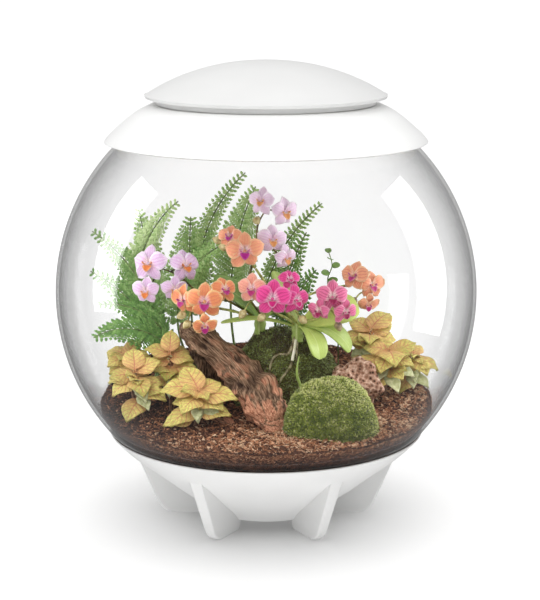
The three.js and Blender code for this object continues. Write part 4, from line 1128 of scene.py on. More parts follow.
@dataclass
class Soil:
    """The soil: packed coir that fills the globe up to the soil height, under loose strands."""

    radius: float = 196.4
    strands: int = 21000
    crumbs: int = 1600
    pressed: int = 9000
    press_depth: float = 11.0
    inset: float = 0.75
    seed: int = 11

    def edge(self, turns: Array) -> Array:
        """Radius at which the soil's surface meets the globe, for each turn, by four repeats."""
        reach = np.full_like(turns, 165.0)
        for _ in range(4):
            height = soil_height(reach * np.cos(turns), reach * np.sin(turns))
            reach = np.sqrt(self.radius**2 - (height - GLOBE_HEIGHT) ** 2)
        return reach

    def level(self, turns: Array, reach: Array, depth: Array | float = 0.0) -> Array:
        """Latitude on the wall, in radians, at a depth under the soil's edge."""
        height = soil_height(reach * np.cos(turns), reach * np.sin(turns)) - depth
        return np.arcsin((height - GLOBE_HEIGHT) / self.radius)

    def body(self) -> None:
        """The body: up the globe's wall from its lowest point, then inwards over rough ground.

        Towards its edge the wall is drawn in a little, to make room for the pressed strands.
        """
        turns = circle(288)
        reach = self.edge(turns)
        share = np.linspace(0, 1, 36)[:, None]
        latitude = -math.pi / 2 + share * (self.level(turns, reach)[None] + math.pi / 2)
        wall = self.radius - self.inset * ease(-1.2, -0.9, latitude)
        wall_r, wall_z = wall * np.cos(latitude), GLOBE_HEIGHT + wall * np.sin(latitude)
        inwards = np.linspace(1, 0, 110)[1:, None]
        top_r = inwards * reach[None]
        x, y = top_r * np.cos(turns), top_r * np.sin(turns)
        places = np.stack([x, y, np.zeros_like(x)], axis=-1)
        rough = 1.5 * layered(places / 9, 3, 5) + 0.9 * noise(places / 2.4, 9)
        top_z = soil_height(x, y) + rough * ease(1.0, 0.97, inwards)
        top_z[-1] = top_z[-1].mean()
        radius = np.vstack([wall_r, top_r])
        height = np.vstack([wall_z, top_z])
        points = np.stack([radius * np.cos(turns), radius * np.sin(turns), height], axis=-1)
        draft = Draft()
        draft.grid(points, closed=True)
        make_piece("soil_body", draft, [COIR], "soil")

    def strew(self, draft: Draft, count: int, thick: Pair, length: Pair) -> None:
        """Adds strands strewn over the ground, nearly level, with painted light: lighter and redder towards
        the front and right, darker towards the back and left.

        Args:
            draft: the draft.
            count: how many.
            thick: least and greatest half thickness.
            length: least and greatest half length.
        """
        draw = np.random.default_rng(self.seed + count)
        turns = draw.uniform(0, 2 * math.pi, count)
        reach = (self.edge(turns) - 1.6 - 0.75 * length[1]) * np.sqrt(draw.uniform(0, 1, count))
        x, y = reach * np.cos(turns), reach * np.sin(turns)
        origins = np.stack([x, y, soil_height(x, y) + draw.uniform(0.2, 1.9, count)], axis=1)
        way = draw.uniform(0, 2 * math.pi, count)
        axes = unit(np.stack([np.cos(way), np.sin(way), draw.normal(0, 0.4, count)], axis=1))
        sizes = [draw.uniform(*span, count) for span in (thick, thick, length)]
        frames = frames_along(axes, way, np.stack(sizes, axis=1))
        # Painted light: strands towards the front and right are lighter, those towards the back and left
        # darker.
        painted_light = 0.46 * ease(-70, 110, 1.3 * x - y) - 0.2
        tones = draw.normal(0.42, 0.3, count) + 0.14 * noise(origins / 22, 3) + painted_light
        draft.stamped(Stamp.strand(), origins, frames, np.clip(tones, 0, 1))

    def press(self, draft: Draft, count: int) -> None:
        """Adds strands against the globe's wall, down to a depth below the soil's edge, painted darker
        there and towards the back and left, as painted shade.
        """
        draw = np.random.default_rng(self.seed)
        turns = draw.uniform(0, 2 * math.pi, count)
        reach = self.edge(turns)
        depth = self.press_depth * draw.uniform(0, 1, count) ** 1.4
        outward = ball(self.level(turns, reach, depth), turns)
        around = np.stack([-np.sin(turns), np.cos(turns), 0 * turns], axis=1)
        way = draw.normal(0, 0.9, count)[:, None]
        axes = unit(around * np.cos(way) + np.cross(outward, around) * np.sin(way) - outward * 0.05)
        sizes = np.stack([draw.uniform(0.25, 0.45, count)] * 2 + [draw.uniform(1.3, 2.6, count)], axis=1)
        origins = GLOBE_CENTRE + outward * (self.radius - 0.4)
        # Painted shade: the strands are darker towards the back and left and with their depth.
        painted_light = 0.3 * ease(-30, 70, reach * (0.6 * np.cos(turns) - np.sin(turns))) - 0.12
        tones = draw.normal(0.36, 0.26, count) + painted_light - 0.035 * depth
        draft.stamped(Stamp.strand(), origins, frames_along(axes, way[:, 0], sizes), np.clip(tones, 0, 1))

    def loose(self) -> None:
        """Loose strands of 3 to 7 mm with coarser crumbs, and strands pressed to the wall."""
        wall = Draft()
        self.press(wall, self.pressed)
        make_piece("wall_strands", wall, [STRANDS], "soil", Shell(sharp=60))
        draft = Draft()
        self.strew(draft, self.strands, (0.3, 0.8), (1.3, 3.4))
        self.strew(draft, self.crumbs, (0.9, 2.0), (1.6, 3.0))
        make_piece("soil_strands", draft, [STRANDS], "soil", Shell(sharp=60))

    def build(self) -> None:
        """Builds the soil."""
        self.body()
        self.loose()


@dataclass
class Dome:
    """A dome on the ground: half an ellipsoid with low lumps, sunk a little into the soil."""

    at: Pair
    size: Point
    lumps: float
    seed: float
    sink: float

    def place(self, sphere: Array) -> Array:
        """Moves points of the unit sphere onto the dome, and those below the ground up to it."""
        u, v, w = np.moveaxis(sphere, -1, 0)
        lump = np.sin(3 * u + self.seed) * np.sin(4 * v + 2 * self.seed) * np.cos(3 * w + self.seed)
        lump = 1 + self.lumps * lump
        up = np.where(w < 0, w * 0.25, np.abs(w) ** 0.85)
        x, y = self.at[0] + self.size[0] * u * lump, self.at[1] + self.size[1] * v * lump
        floor = soil_height(*self.at) - self.sink
        z = floor + (self.size[2] + self.sink) * up * lump
        return np.stack([x, y, np.maximum(z, soil_height(x, y) + 0.3)], axis=-1)

    def outward(self, sphere: Array) -> Array:
        """The way out of the dome at points of the unit sphere, as on an ellipsoid."""
        return unit(sphere / np.array(self.size))

    def surface(self, rows: int, columns: int) -> Array:
        """Rings of points over the dome, from its foot to its top."""
        return self.place(ball(np.radians(np.linspace(-90, 90, rows))[:, None], circle(columns)[None]))


@dataclass
class MossBed:
    """A dome of moss: a rough body under thousands of tufts, spaced evenly.

    Attributes:
        name: the piece's name.
        node: the CAD node that it stands for.
        slot: the record's slot; not used.
        dome: its form.
        finish: its finish.
        tufts: how many tufts.
        tuft_size: half width and length of a tuft.
        splay: how far the tufts lean at random.
        rough: how far the body's surface goes up and down.
        seed: of its random draws.
        shade: heights under which tufts are painted lighter and over which they are painted darker, as
            painted shade, or none.
        painted_sun: how much lighter the side that faces up and right is painted, as painted light.
    """

    name: str
    node: str
    slot: str
    dome: Dome
    finish: Finish
    tufts: int
    tuft_size: Pair
    splay: float
    rough: float
    seed: int
    shade: Pair | None = None
    painted_sun: float = 0.0

    def draft(self) -> Draft:
        """The body with its tufts, which stand out of it and lean by a random splay."""
        draw = np.random.default_rng(self.seed)
        made = Draft()
        surface = self.dome.surface(80, 128)
        surface = surface + self.rough * layered(surface / 5, 3, self.seed)[..., None] * UP
        surface[[0, -1]] = surface[[0, -1]].mean(axis=1, keepdims=True)
        # The body under the tufts has a low tone, so it is darker, partly as painted shade between them.
        made.grid(surface, tone=0.2, closed=True)
        count = self.tufts
        height = 1 - (np.arange(count) + 0.5) / count
        turns = np.arange(count) * math.pi * (3 - math.sqrt(5))
        level = np.sqrt(1 - height**2)
        sphere = np.stack([level * np.cos(turns), level * np.sin(turns), height], axis=1)
        sphere = unit(sphere + draw.normal(0, 0.012, sphere.shape))
        sphere[:, 2] = np.abs(sphere[:, 2])
        origins = self.dome.place(sphere)
        origins = origins + self.rough * layered(origins / 5, 3, self.seed)[:, None] * UP
        axes = unit(self.dome.outward(sphere) + draw.normal(0, self.splay, sphere.shape))
        width, length = self.tuft_size
        scale = draw.uniform(0.7, 1.3, (count, 1)) * np.array([[width, width, length]])
        frames = frames_along(axes, turns, scale)
        # Painted shade: tufts high on the dome are painted darker and low ones lighter.
        lit = 0.5 * ease(self.shade[1], self.shade[0], origins[:, 2]) - 0.2 if self.shade else 0.0
        tones = 0.42 + 0.5 * noise(origins / 2.6, 4) + 0.25 * noise(origins / 11, 6)
        # Painted light: the side that faces up and right is painted lighter.
        painted_sunlit = sphere @ np.array([0.35, 0.0, 1.0]) - 0.45
        tones = tones + draw.normal(0, 0.26, count) + self.painted_sun * painted_sunlit
        made.stamped(Stamp.spike(), origins - axes * 0.5, frames, np.clip(tones + lit, 0, 1))
        return made

    def build(self) -> None:
        """Builds the bed."""
        make_piece(self.name, self.draft(), [self.finish], self.node)


MOUND = Dome((20, 16), (52, 46, 70), 0.05, 0.7, 6)
MOUND_MOSS = MossBed(
    "mound_moss", "moss_mound", "dark_moss", MOUND, PAINTED_SHADE_MOSS, tufts=9500, tuft_size=(0.9, 3.0),
    splay=0.6, rough=2.2, seed=21, shade=(150, 176),
)
CUSHION = Dome((60, -82), (44, 35, 50), 0.06, 2.2, 4)
CUSHION_MOSS = MossBed(
    "cushion_moss", "moss_cushion", "bright_moss", CUSHION, BRIGHT_MOSS, tufts=8000, tuft_size=(1.15, 3.0),
    splay=0.5, rough=1.6, seed=22, painted_sun=0.55,
)


@dataclass(frozen=True)
class Limb:
    """A gnarled limb along a curve, as the CAD solid has it, with finer ridges, cracks and knots.

    Attributes:
        points: of its curve.
        radii: at even steps along it.
        flat: its height as a share of its width.
        ridge: how high its ridges are, as a share of the radius.
        seed: of its ridges and noise.
        split: how far it is split towards its tip, from 0 to 1.
        rows, sides: how many rings it has, and points to a ring.
        ledge: the share of its length where its notch is; past 1 there is none.
    """

    points: Sequence[Point]
    radii: Sequence[float]
    flat: float
    ridge: float
    seed: float
    split: float
    rows: int = 200
    sides: int = 96
    ledge: float = 2.0

    def add_to(self, draft: Draft) -> None:
        """Adds the limb to a draft.

        The radius is the stations' by a smooth curve, times 1.02 + 0.4 ridge (sin(3 turn + seed + 4 t)
        + 0.6 cos(5 turn - 7 t + seed)), with long noise for fibres and short noise for knots. A
        notch runs round it at the share "ledge" of its length, with a lip behind. The tone paints
        shade into the notch, the holes and the cracks, and the wood's finish darkens them by it.
        """
        path = smooth_path(self.points, self.rows)
        stations = [(k, radius, 0) for k, radius in enumerate(self.radii)]
        widths = smooth_path(stations, self.rows)[:, 1:2]
        t = np.linspace(0, 1, self.rows)[:, None]
        turn = circle(self.sides)[None]
        ridges = np.sin(3 * turn + self.seed + 4 * t) + 0.6 * np.cos(5 * turn - 7 * t + self.seed)
        fibre = [t * length_of(path), widths * np.cos(turn), widths * np.sin(turn)]
        fibre = np.stack(np.broadcast_arrays(*fibre), axis=-1)
        long_noise = layered(fibre / np.array([12, 3.0, 3.0]), 4, int(self.seed * 10))
        knots = layered(fibre / 13, 3, 40 + int(self.seed * 10))
        cracks = np.minimum(np.abs(noise(fibre / np.array([15, 5, 5]), 77)) * 4.5, 1) - 1
        holes = ease(0.36, 0.12, pits(fibre / np.array([17, 10, 10]), 12)) * ease(0.66, 0.5, t)
        edge = t - self.ledge - 0.05 * np.sin(turn + 1) - 0.03 * np.sin(3 * turn) - 0.02 * knots
        notch = np.exp(-((edge / 0.035) ** 2))
        lip = ease(0.02, 0.05, edge) * ease(0.22, 0.06, edge)
        ends = ease(-0.01, 0.05, t) * ease(1.01, 0.95, t)
        relief = 0.4 * self.ridge * ridges + 0.07 * long_noise + 0.26 * knots + 0.07 * cracks - 0.2 * holes
        relief = relief - 0.26 * notch + 0.1 * lip
        radius = widths * (1.02 + relief) * (0.3 + 0.7 * ends)
        rings = carry(path, np.maximum(radius, 0.6), self.flat, UP)
        grain = np.concatenate([fibre[:1], fibre, fibre[-1:]])
        # Painted shade: the tone drops in holes, cracks and the notch, where the finish darkens the wood.
        tone = t * self.split - 1.3 * holes + 0.5 * cracks - 0.9 * notch
        draft.grid(rings, np.concatenate([tone[:1], tone, tone[-1:]]), closed=True, grain=grain)


@dataclass
class Hardscape:
    """The driftwood with its second foot, the shard before it, and the lava rock."""

    main: Limb = Limb(
        [(-82, 12, 186), (-58, -2, 172), (-30, -22, 152), (-8, -46, 132), (4, -70, 112), (9, -84, 103)],
        [10, 18, 19, 21, 22, 14, 4], flat=0.6, ridge=0.14, seed=1.1, split=0.75, ledge=0.5,
    )
    foot: Limb = Limb(
        [(-62, 2, 170), (-58, 12, 148), (-54, 18, 124), (-52, 20, 104)],
        [9, 14, 13, 14, 12], flat=0.8, ridge=0.12, seed=2.3, split=0.1,
    )
    shard: Limb = Limb(
        [(-74, -58, 122), (-56, -60, 121), (-40, -62, 113), (-28, -64, 106)],
        [3, 10, 13, 9, 2], flat=0.45, ridge=0.15, seed=0.4, split=0.7, rows=120, sides=64,
    )
    rock_at: Point = (86, -14, 132)
    rock_size: Point = (26, 16, 24)

    def rock(self) -> None:
        """The lava rock: a lumpy ball with gas holes at the middles of cells of 8 and 3.6 mm."""
        sphere = ball(np.radians(np.linspace(-90, 90, 110))[:, None], circle(170)[None])
        x, y, z = np.moveaxis(sphere, -1, 0)
        lump = 1 + 0.13 * np.sin(4 * x + 1) * np.cos(5 * y) + 0.08 * np.sin(7 * z + 3 * x)
        spread = sphere * np.array(self.rock_size)
        holes = ease(0.55, 0.15, pits(spread / 8, 3)) * 2.6 + ease(0.5, 0.2, pits(spread / 3.6, 5)) * 1.1
        rough = 1.6 * layered(spread / 9, 3, 8) - holes
        points = np.array(self.rock_at) + spread * lump[..., None] + unit(spread) * rough[..., None]
        points[[0, -1]] = points[[0, -1]].mean(axis=1, keepdims=True)
        draft = Draft()
        draft.grid(points, closed=True)
        make_piece("lava_rock_body", draft, [LAVA], "lava_rock")

    def build(self) -> None:
        """Builds the wood and the rock."""
        wood = Draft()
        self.main.add_to(wood)
        self.foot.add_to(wood)
        make_piece("driftwood_root", wood, [WOOD], "driftwood")
        shard = Draft()
        self.shard.add_to(shard)
        make_piece("driftwood_splinter", shard, [WOOD], "driftwood_shard")
        self.rock()


# --- ferns


@dataclass
class Frond:
    """One fern frond.

    Attributes:
        root: where it stands in the soil.
        middle: the middle point of its arching rib.
        tip: the rib's tip.
        reach: length of its longest leaflets.
        face: the way its upper side looks.
        tone: its green, from 0 dark to 1 light.
        bare: the share of the rib below its lowest leaflets.
        spacing: from leaflet to leaflet.
        pinnule_pitch: from pinnule to pinnule.
    """

    root: Pair
    middle: Point
    tip: Point
    reach: float
    face: Point
    tone: float
    bare: float = 0.34
    spacing: float = 5.9
    pinnule_pitch: float = 2.3

    def rib(self, t: Array) -> tuple[Array, Array]:
        """Points and tangents of the rib: a circle's arc through the root, the middle and the tip.

        From the arc's centre c, with a spoke a and its square turn b, a point is
        c + a cos(angle) + b sin(angle).
        """
        start = np.array([*self.root, float(soil_height(*self.root)) + 1])
        to_middle, to_tip = np.array(self.middle) - start, np.array(self.tip) - start
        axis = np.cross(to_middle, to_tip)
        off = np.cross(axis, to_middle) * (to_tip @ to_tip)
        off = off + np.cross(to_tip, axis) * (to_middle @ to_middle)
        centre = start + off / (2 * axis @ axis)
        axis = unit(axis)
        spoke, end = start - centre, np.array(self.tip) - centre
        sweep = math.atan2(np.cross(spoke, end) @ axis, spoke @ end) % (2 * math.pi)
        turned = np.cross(axis, spoke)
        angle = (sweep * t)[:, None]
        points = centre + spoke * np.cos(angle) + turned * np.sin(angle)
        return points, unit(turned * np.cos(angle) - spoke * np.sin(angle))

    def leaflets(self, draw: np.random.Generator) -> tuple[Array, ...]:
        """Foot, direction, upward side and length of each leaflet, in pairs along the rib.

        A leaflet's length is reach * min(1, 0.55 + 1.6 g) * (1 - 0.92 g^1.9) for its share g of the
        way from the lowest pair to the tip.
        """
        pairs = max(10, int(length_of(self.rib(np.linspace(0, 1, 60))[0]) * (1 - self.bare) / self.spacing))
        grown = ((np.arange(pairs) + 0.5) / pairs) ** 0.88
        points, tangents = self.rib(self.bare + (0.985 - self.bare) * grown)
        side = unit(np.cross(tangents, np.array(self.face)))
        normal = np.cross(side, tangents)
        reach = self.reach * np.minimum(1, 0.55 + 1.6 * grown) * (1 - 0.92 * grown**1.9)
        out = np.concatenate([unit(way * side + 0.5 * tangents) for way in (-1, 1)])
        droop = draw.normal(-0.1, 0.08, (2 * pairs, 1))
        out = unit(out + droop * np.tile(normal, (2, 1)))
        return np.tile(points, (2, 1)), out, np.tile(normal, (2, 1)), np.tile(reach, 2)

    def build(self, name: str, seed: int) -> None:
        """Builds the frond: its rib, and on each leaflet's midrib pairs of pinnules and one at its tip."""
        draw = np.random.default_rng(seed)
        foot, out, normal, reach = self.leaflets(draw)
        draft = Draft()
        sunk = [*self.root, float(soil_height(*self.root)) - 6]
        draft.tube(np.vstack([[sunk], self.rib(np.linspace(0, 0.99, 40))[0]]), 1.1, 0.35, 5, finish=1)
        count = np.maximum(3, (reach / self.pinnule_pitch).astype(int))
        leaflet = np.repeat(np.arange(len(reach)), count)
        first = np.repeat(np.cumsum(count) - count, count)
        share = (np.arange(len(leaflet)) - first + 0.7) / np.repeat(count, count)
        out_p, normal_p, reach_p = out[leaflet], normal[leaflet], reach[leaflet]
        across = unit(np.cross(normal_p, out_p))
        arch = (0.1 * np.sin(share * math.pi) - 0.08 * share**2)[:, None]
        origins = foot[leaflet] + (out_p * share[:, None] + normal_p * arch) * reach_p[:, None]
        blade = np.minimum(self.spacing * 0.95, reach_p * 0.5) * (1 - 0.74 * share**1.8)
        for way in (-1.0, 1.0):
            axes = unit(across * way + out_p * 0.75 + draw.normal(0, 0.07, out_p.shape))
            width = self.pinnule_pitch * 0.56 * draw.uniform(0.85, 1.1, len(share)) * (1 - 0.25 * share)
            third = unit(np.cross(normal_p, axes))
            sizes = np.stack([width, width, blade], axis=1)[:, :, None]
            frames = np.stack([third, normal_p, axes], axis=1) * sizes
            tones = np.clip(self.tone + draw.normal(0, 0.07, len(share)) + 0.1 * share, 0, 1)
            draft.stamped(Stamp.pinnule(), origins, frames, tones)
        third, blade = unit(np.cross(normal, out)), out * reach[:, None] * 0.9
        size = self.pinnule_pitch * 0.6
        midrib = np.stack([third * 0.4, normal * 0.4, blade], axis=1)
        draft.stamped(Stamp.pinnule(), foot, midrib, np.full(len(reach), self.tone * 0.9))
        ends = np.stack([third * size, normal * size, out * size * 2.4], axis=1)
        draft.stamped(Stamp.pinnule(), foot + blade, ends, np.full(len(reach), self.tone))
        node = f"fern_frond_{name}"
        make_piece(f"fern_leaf_{name}", draft, [FERN, FERN_RIB], node, Shell(thick=0.35))


FRONDS = {
    "tall": Frond((-45, 75), (-60, 70, 266), (-19, 56, 329), 15, (0.3, -1, 0.2), 0.6),
    "crown": Frond((-28, 86), (-24, 85, 275), (-10, 80, 312), 29, (-0.2, -1, 0.4), 0.62),
    "upper_left": Frond((-86, 62), (-116, 76, 262), (-86, 72, 298), 22, (0, -1, 0.7), 0.75),
    "middle": Frond((-70, 72), (-76, 62, 250), (-74, 52, 286), 30, (0.1, -1, 0.5), 0.55),
    "left": Frond((-110, 48), (-128, 52, 225), (-172, 48, 272), 17, (-0.3, -1, 0.8), 0.4),
    "left_low": Frond((-101, 42), (-122, 38, 188), (-172, 26, 236), 16, (-0.3, -1, 0.9), 0.3),
    "side": Frond((-90, 37), (-122, 28, 194), (-164, 12, 205), 16, (0, -0.7, 1), 0.3),
    "front": Frond((-82, 26), (-118, 9, 179), (-166, -14, 178), 25, (0, -0.8, 1), 0.28),
    "back": Frond((-90, 72), (-122, 88, 258), (-128, 84, 290), 22, (-0.4, -1, 0.3), 0.65),
    "inner": Frond((-64, 61), (-68, 52, 238), (-34, 43, 262), 20, (0.2, -1, 0.6), 0.5),
    "right": Frond((-8, 84), (22, 72, 258), (56, 58, 298), 11, (0.3, -1, 0.4), 0.6),
    "right_low": Frond((4, 78), (26, 66, 236), (40, 54, 270), 16, (0.2, -1, 0.5), 0.42),
    "deep_left": Frond((-112, 64), (-120, 62, 190), (-150, 56, 222), 20, (0, -1, 0.6), 0.25),
    "deep_right": Frond((14, 70), (28, 65, 196), (50, 54, 232), 18, (0, -1, 0.5), 0.3),
}


@dataclass
class Ferns:
    """All fronds, by what follows "fern_frond_" in the names of their CAD nodes."""

    fronds: dict[str, Frond] = field(default_factory=FRONDS.copy)

    def build(self) -> None:
        """Builds every frond."""
        for seed, (name, frond) in enumerate(self.fronds.items()):
            frond.build(name, 100 + seed)


# --- leaves


class Outline(Enum):
    """Half width of a leaf along its length, as a share of its half width."""

    STRAP = "strap"
    OVATE = "ovate"
    OVAL = "oval"

    def width(self, t: Array) -> Array:
        """The share at each t from 0 to 1.

        A strap is 2.36 t^0.9 (1 - t)^0.45. An ovate leaf has a stalk for an eighth of its length, and
        then 2.9 s^0.6 (1 - s)^1.05 over the rest. An oval is the root of sin(pi t).
        """
        if self is Outline.STRAP:
            return 2.36 * t**0.9 * (1 - t) ** 0.45
        if self is Outline.OVATE:
            s = np.clip((t - 0.125) / 0.875, 0, 1)
            return np.maximum(2.9 * s**0.6 * (1 - s) ** 1.05, 0.07 * (1 - t))
        return np.sqrt(np.clip(np.sin(math.pi * t), 0, 1))


@dataclass
class Leaf:
    """A leaf that sets out at an azimuth and elevation and bends down by its droop, in degrees."""

    azimuth: float
    elevation: float
    droop: float
    length: float
    width: float
    roll: float = 0.0

    def sheet(
        self,
        base: Array,
        outline: Outline,
        shape: tuple[int, int],
        fold: float,
        relief: Callable[[Array, Array], Array],
    ) -> Array:
        """The leaf's upper side, about a middle line that is a circle's arc.

        A point stands off the line by its share of the width, lifted by fold * |across| and by the relief.

        Args:
            base: where the leaf starts.
            outline: the form of its edge.
            shape: rows along and columns across.
            fold: how far the sides rise, as a share of their distance from the middle.
            relief: height over the middle line, from the shares along and across.

        Returns:
            Rows and columns of points.
        """
        heading = heading_at(self.azimuth)
        roll = math.radians(self.roll)
        normal = UP * math.cos(roll) + np.cross(heading, UP) * math.sin(roll)
        side = unit(np.cross(normal, heading))
        t, s = shares(*shape)
        start, bend = math.radians(self.elevation), -math.radians(self.droop)
        angle = start + bend * t
        run = self.length / bend * (np.sin(angle) - math.sin(start))
        rise = self.length / bend * (math.cos(start) - np.cos(angle))
        across = s * outline.width(t) * self.width / 2
        lift = fold * np.abs(across) + relief(t, s)
        ahead = (run - lift * np.sin(angle))[..., None] * heading
        return base + ahead + (rise + lift * np.cos(angle))[..., None] * normal + across[..., None] * side


# --- orchids


@dataclass(frozen=True)
class Palette:
    """The colours of one orchid: of its petals, then of its lip, and the strength of its veins."""

    name: str
    throat: str
    body: str
    rim: str
    vein: str
    lip: str
    lip_rim: str
    veins: float

    def finishes(self) -> list[Finish]:
        """The petals' finish, and that of the lip."""
        petal = Tepal(f"{self.name}_petal", self.throat, self.body, self.rim, self.vein, self.veins)
        return [petal, Tepal(f"{self.name}_lip", "#fff4ea", self.lip, self.lip_rim, self.lip, 0.2)]


LILAC = Palette("lilac", "#fde6df", "#efd0f0", "#fff8ff", "#d894d8", "#e67c34", "#f6bd80", 0.5)
PALE = Palette("pale", "#f8cfe6", "#f4dcf0", "#fef6fc", "#dfa3dc", "#f0a061", "#f9cf98", 0.45)
PEACH = Palette("peach", "#fdeaf0", "#f5a980", "#fbd0a2", "#ec8074", "#b51589", "#da5cb8", 0.5)
ORANGE = Palette("orange", "#fbe0ea", "#f09865", "#f9dc9c", "#dd6a62", "#b31c7a", "#d863a2", 0.5)
SALMON = Palette("salmon", "#fbe2ea", "#f6ab95", "#fbd7c0", "#e98380", "#b8276f", "#e672a6", 0.45)
MAGENTA = Palette("magenta", "#fff4f8", "#ec4a98", "#f48cc0", "#b01163", "#cc1274", "#f6b6d4", 0.5)
ROSE = Palette("rose", "#fff6ea", "#e878a2", "#f4aac2", "#a82a5e", "#950f4a", "#d05288", 0.6)
RUST = Palette("rust", "#fbdcc6", "#f1a680", "#f8d3a8", "#cf6a62", "#bb2575", "#ea93ba", 0.55)


@dataclass
class Bloom:
    """A moth orchid's bloom, which faces an azimuth and a tilt in degrees."""

    at: Point
    azimuth: float
    tilt: float
    size: float
    # Turn from straight up, length and width as shares of the bloom, and how far it stands forward
    whorl: ClassVar = (
        (0.0, (0.53, 0.38), -1.2),
        (144.0, (0.52, 0.37), -1.2),
        (216.0, (0.52, 0.37), -1.2),
        (72.0, (0.53, 0.52), 1.2),
        (288.0, (0.53, 0.52), 1.2),
    )

    def axes(self) -> tuple[Array, Array, Array]:
        """The way it faces, the way that is up on its face, and the way across it."""
        tilt = math.radians(self.tilt)
        facing = heading_at(self.azimuth) * math.cos(tilt) + UP * math.sin(tilt)
        upright = unit(UP - facing * facing[2])
        return facing, upright, np.cross(facing, upright)

    def tepal(
        self, turn: float, length: float, width: float, depth: float, draw: np.random.Generator
    ) -> Array:
        """One sepal or petal at a turn from straight up.

        Its half width is (sin(pi t^1.15))^0.62 of its own. Its face stands forward by the depth, curls
        back towards its tip, cups between its edges and waves along them.
        """
        facing, upright, sideways = self.axes()
        angle = math.radians(turn)
        out = upright * math.cos(angle) + sideways * math.sin(angle)
        across = sideways * math.cos(angle) - upright * math.sin(angle)
        t, s = shares(11, 9)
        half = width * self.size / 2 * np.clip(np.sin(math.pi * t**1.15), 0, 1) ** 0.62
        seed, back, cup = draw.uniform(0, 6.3), draw.uniform(0.06, 0.2), draw.uniform(-0.05, 0.09)
        wave = 0.035 * np.sin(8 * t + seed) * s * np.abs(s) + 0.03 * np.cos(6 * t + 2 * seed) * s**2
        curl = 0.09 * np.sin(math.pi * t * 0.8) - back * t**2.4 - cup * s**2
        stand = depth + self.size * (curl + wave)
        reach = self.size * length * (t - 0.03 * s**2 * t)
        point = np.array(self.at) + reach[..., None] * out + (s * half)[..., None] * across
        return point + stand[..., None] * facing

    def lip(self) -> list[tuple[Array, float]]:
        """The lip: a middle lobe that hangs forward and down, and two side lobes that stand by it."""
        facing, upright, sideways = self.axes()
        t, s = shares(8, 7)
        centre = np.array(self.at) + facing * self.size * 0.05
        half = self.size * 0.13 * np.sin(math.pi * t**0.7) ** 0.7
        forward = self.size * (0.17 * np.sin(math.pi * 0.5 * t) + 0.03 * s**2)
        down = self.size * (0.03 + 0.21 * t**1.5)
        lobe = centre + forward[..., None] * facing - (down + 0 * s)[..., None] * upright
        lobes = [(lobe + (half * s)[..., None] * sideways, 0.55)]
        for way in (-1.0, 1.0):
            out = self.size * (0.03 + 0.1 * np.sin(math.pi * 0.6 * t)) * way
            rise = self.size * (0.1 * t**1.2 - 0.04)
            front = self.size * (0.06 + 0.09 * t) + self.size * 0.07 * s * np.sin(math.pi * t**0.8) ** 0.6
            wing = centre + (out + 0 * s)[..., None] * sideways + (rise + 0 * s)[..., None] * upright
            lobes.append((wing + front[..., None] * facing, 0.45))
        return lobes

    def column(self) -> Array:
        """The column over the lip: a short blunt nose that looks forward."""
        facing, upright, _ = self.axes()
        path = np.array(self.at) + np.linspace(-0.02, 0.13, 6)[:, None] * self.size * facing
        path = path + (np.linspace(0, 1, 6)[:, None] ** 2) * self.size * 0.015 * -upright
        radii = self.size * np.array([0.03, 0.045, 0.05, 0.05, 0.042, 0.02])
        return carry(path, np.repeat(radii[:, None], 8, axis=1), reference=upright)

    def add_to(self, draft: Draft, seed: int) -> None:
        """Adds the bloom: three sepals behind two broad petals, and the lip."""
        draw = np.random.default_rng(seed)
        for turn, (length, width), depth in self.whorl:
            grown = draw.uniform(0.92, 1.07, 2)
            # Painted shade: the petals in front get a lighter tone than the sepals behind them, on top of a
            # random one.
            tone = float(draw.uniform(0.35, 0.6) + (0.3 if depth > 0 else 0.0))
            petal = self.tepal(turn + draw.normal(0, 4), length * grown[0], width * grown[1], depth, draw)
            draft.grid(petal, tone)
        for sheet, tone in self.lip():
            draft.grid(sheet, tone, finish=1)


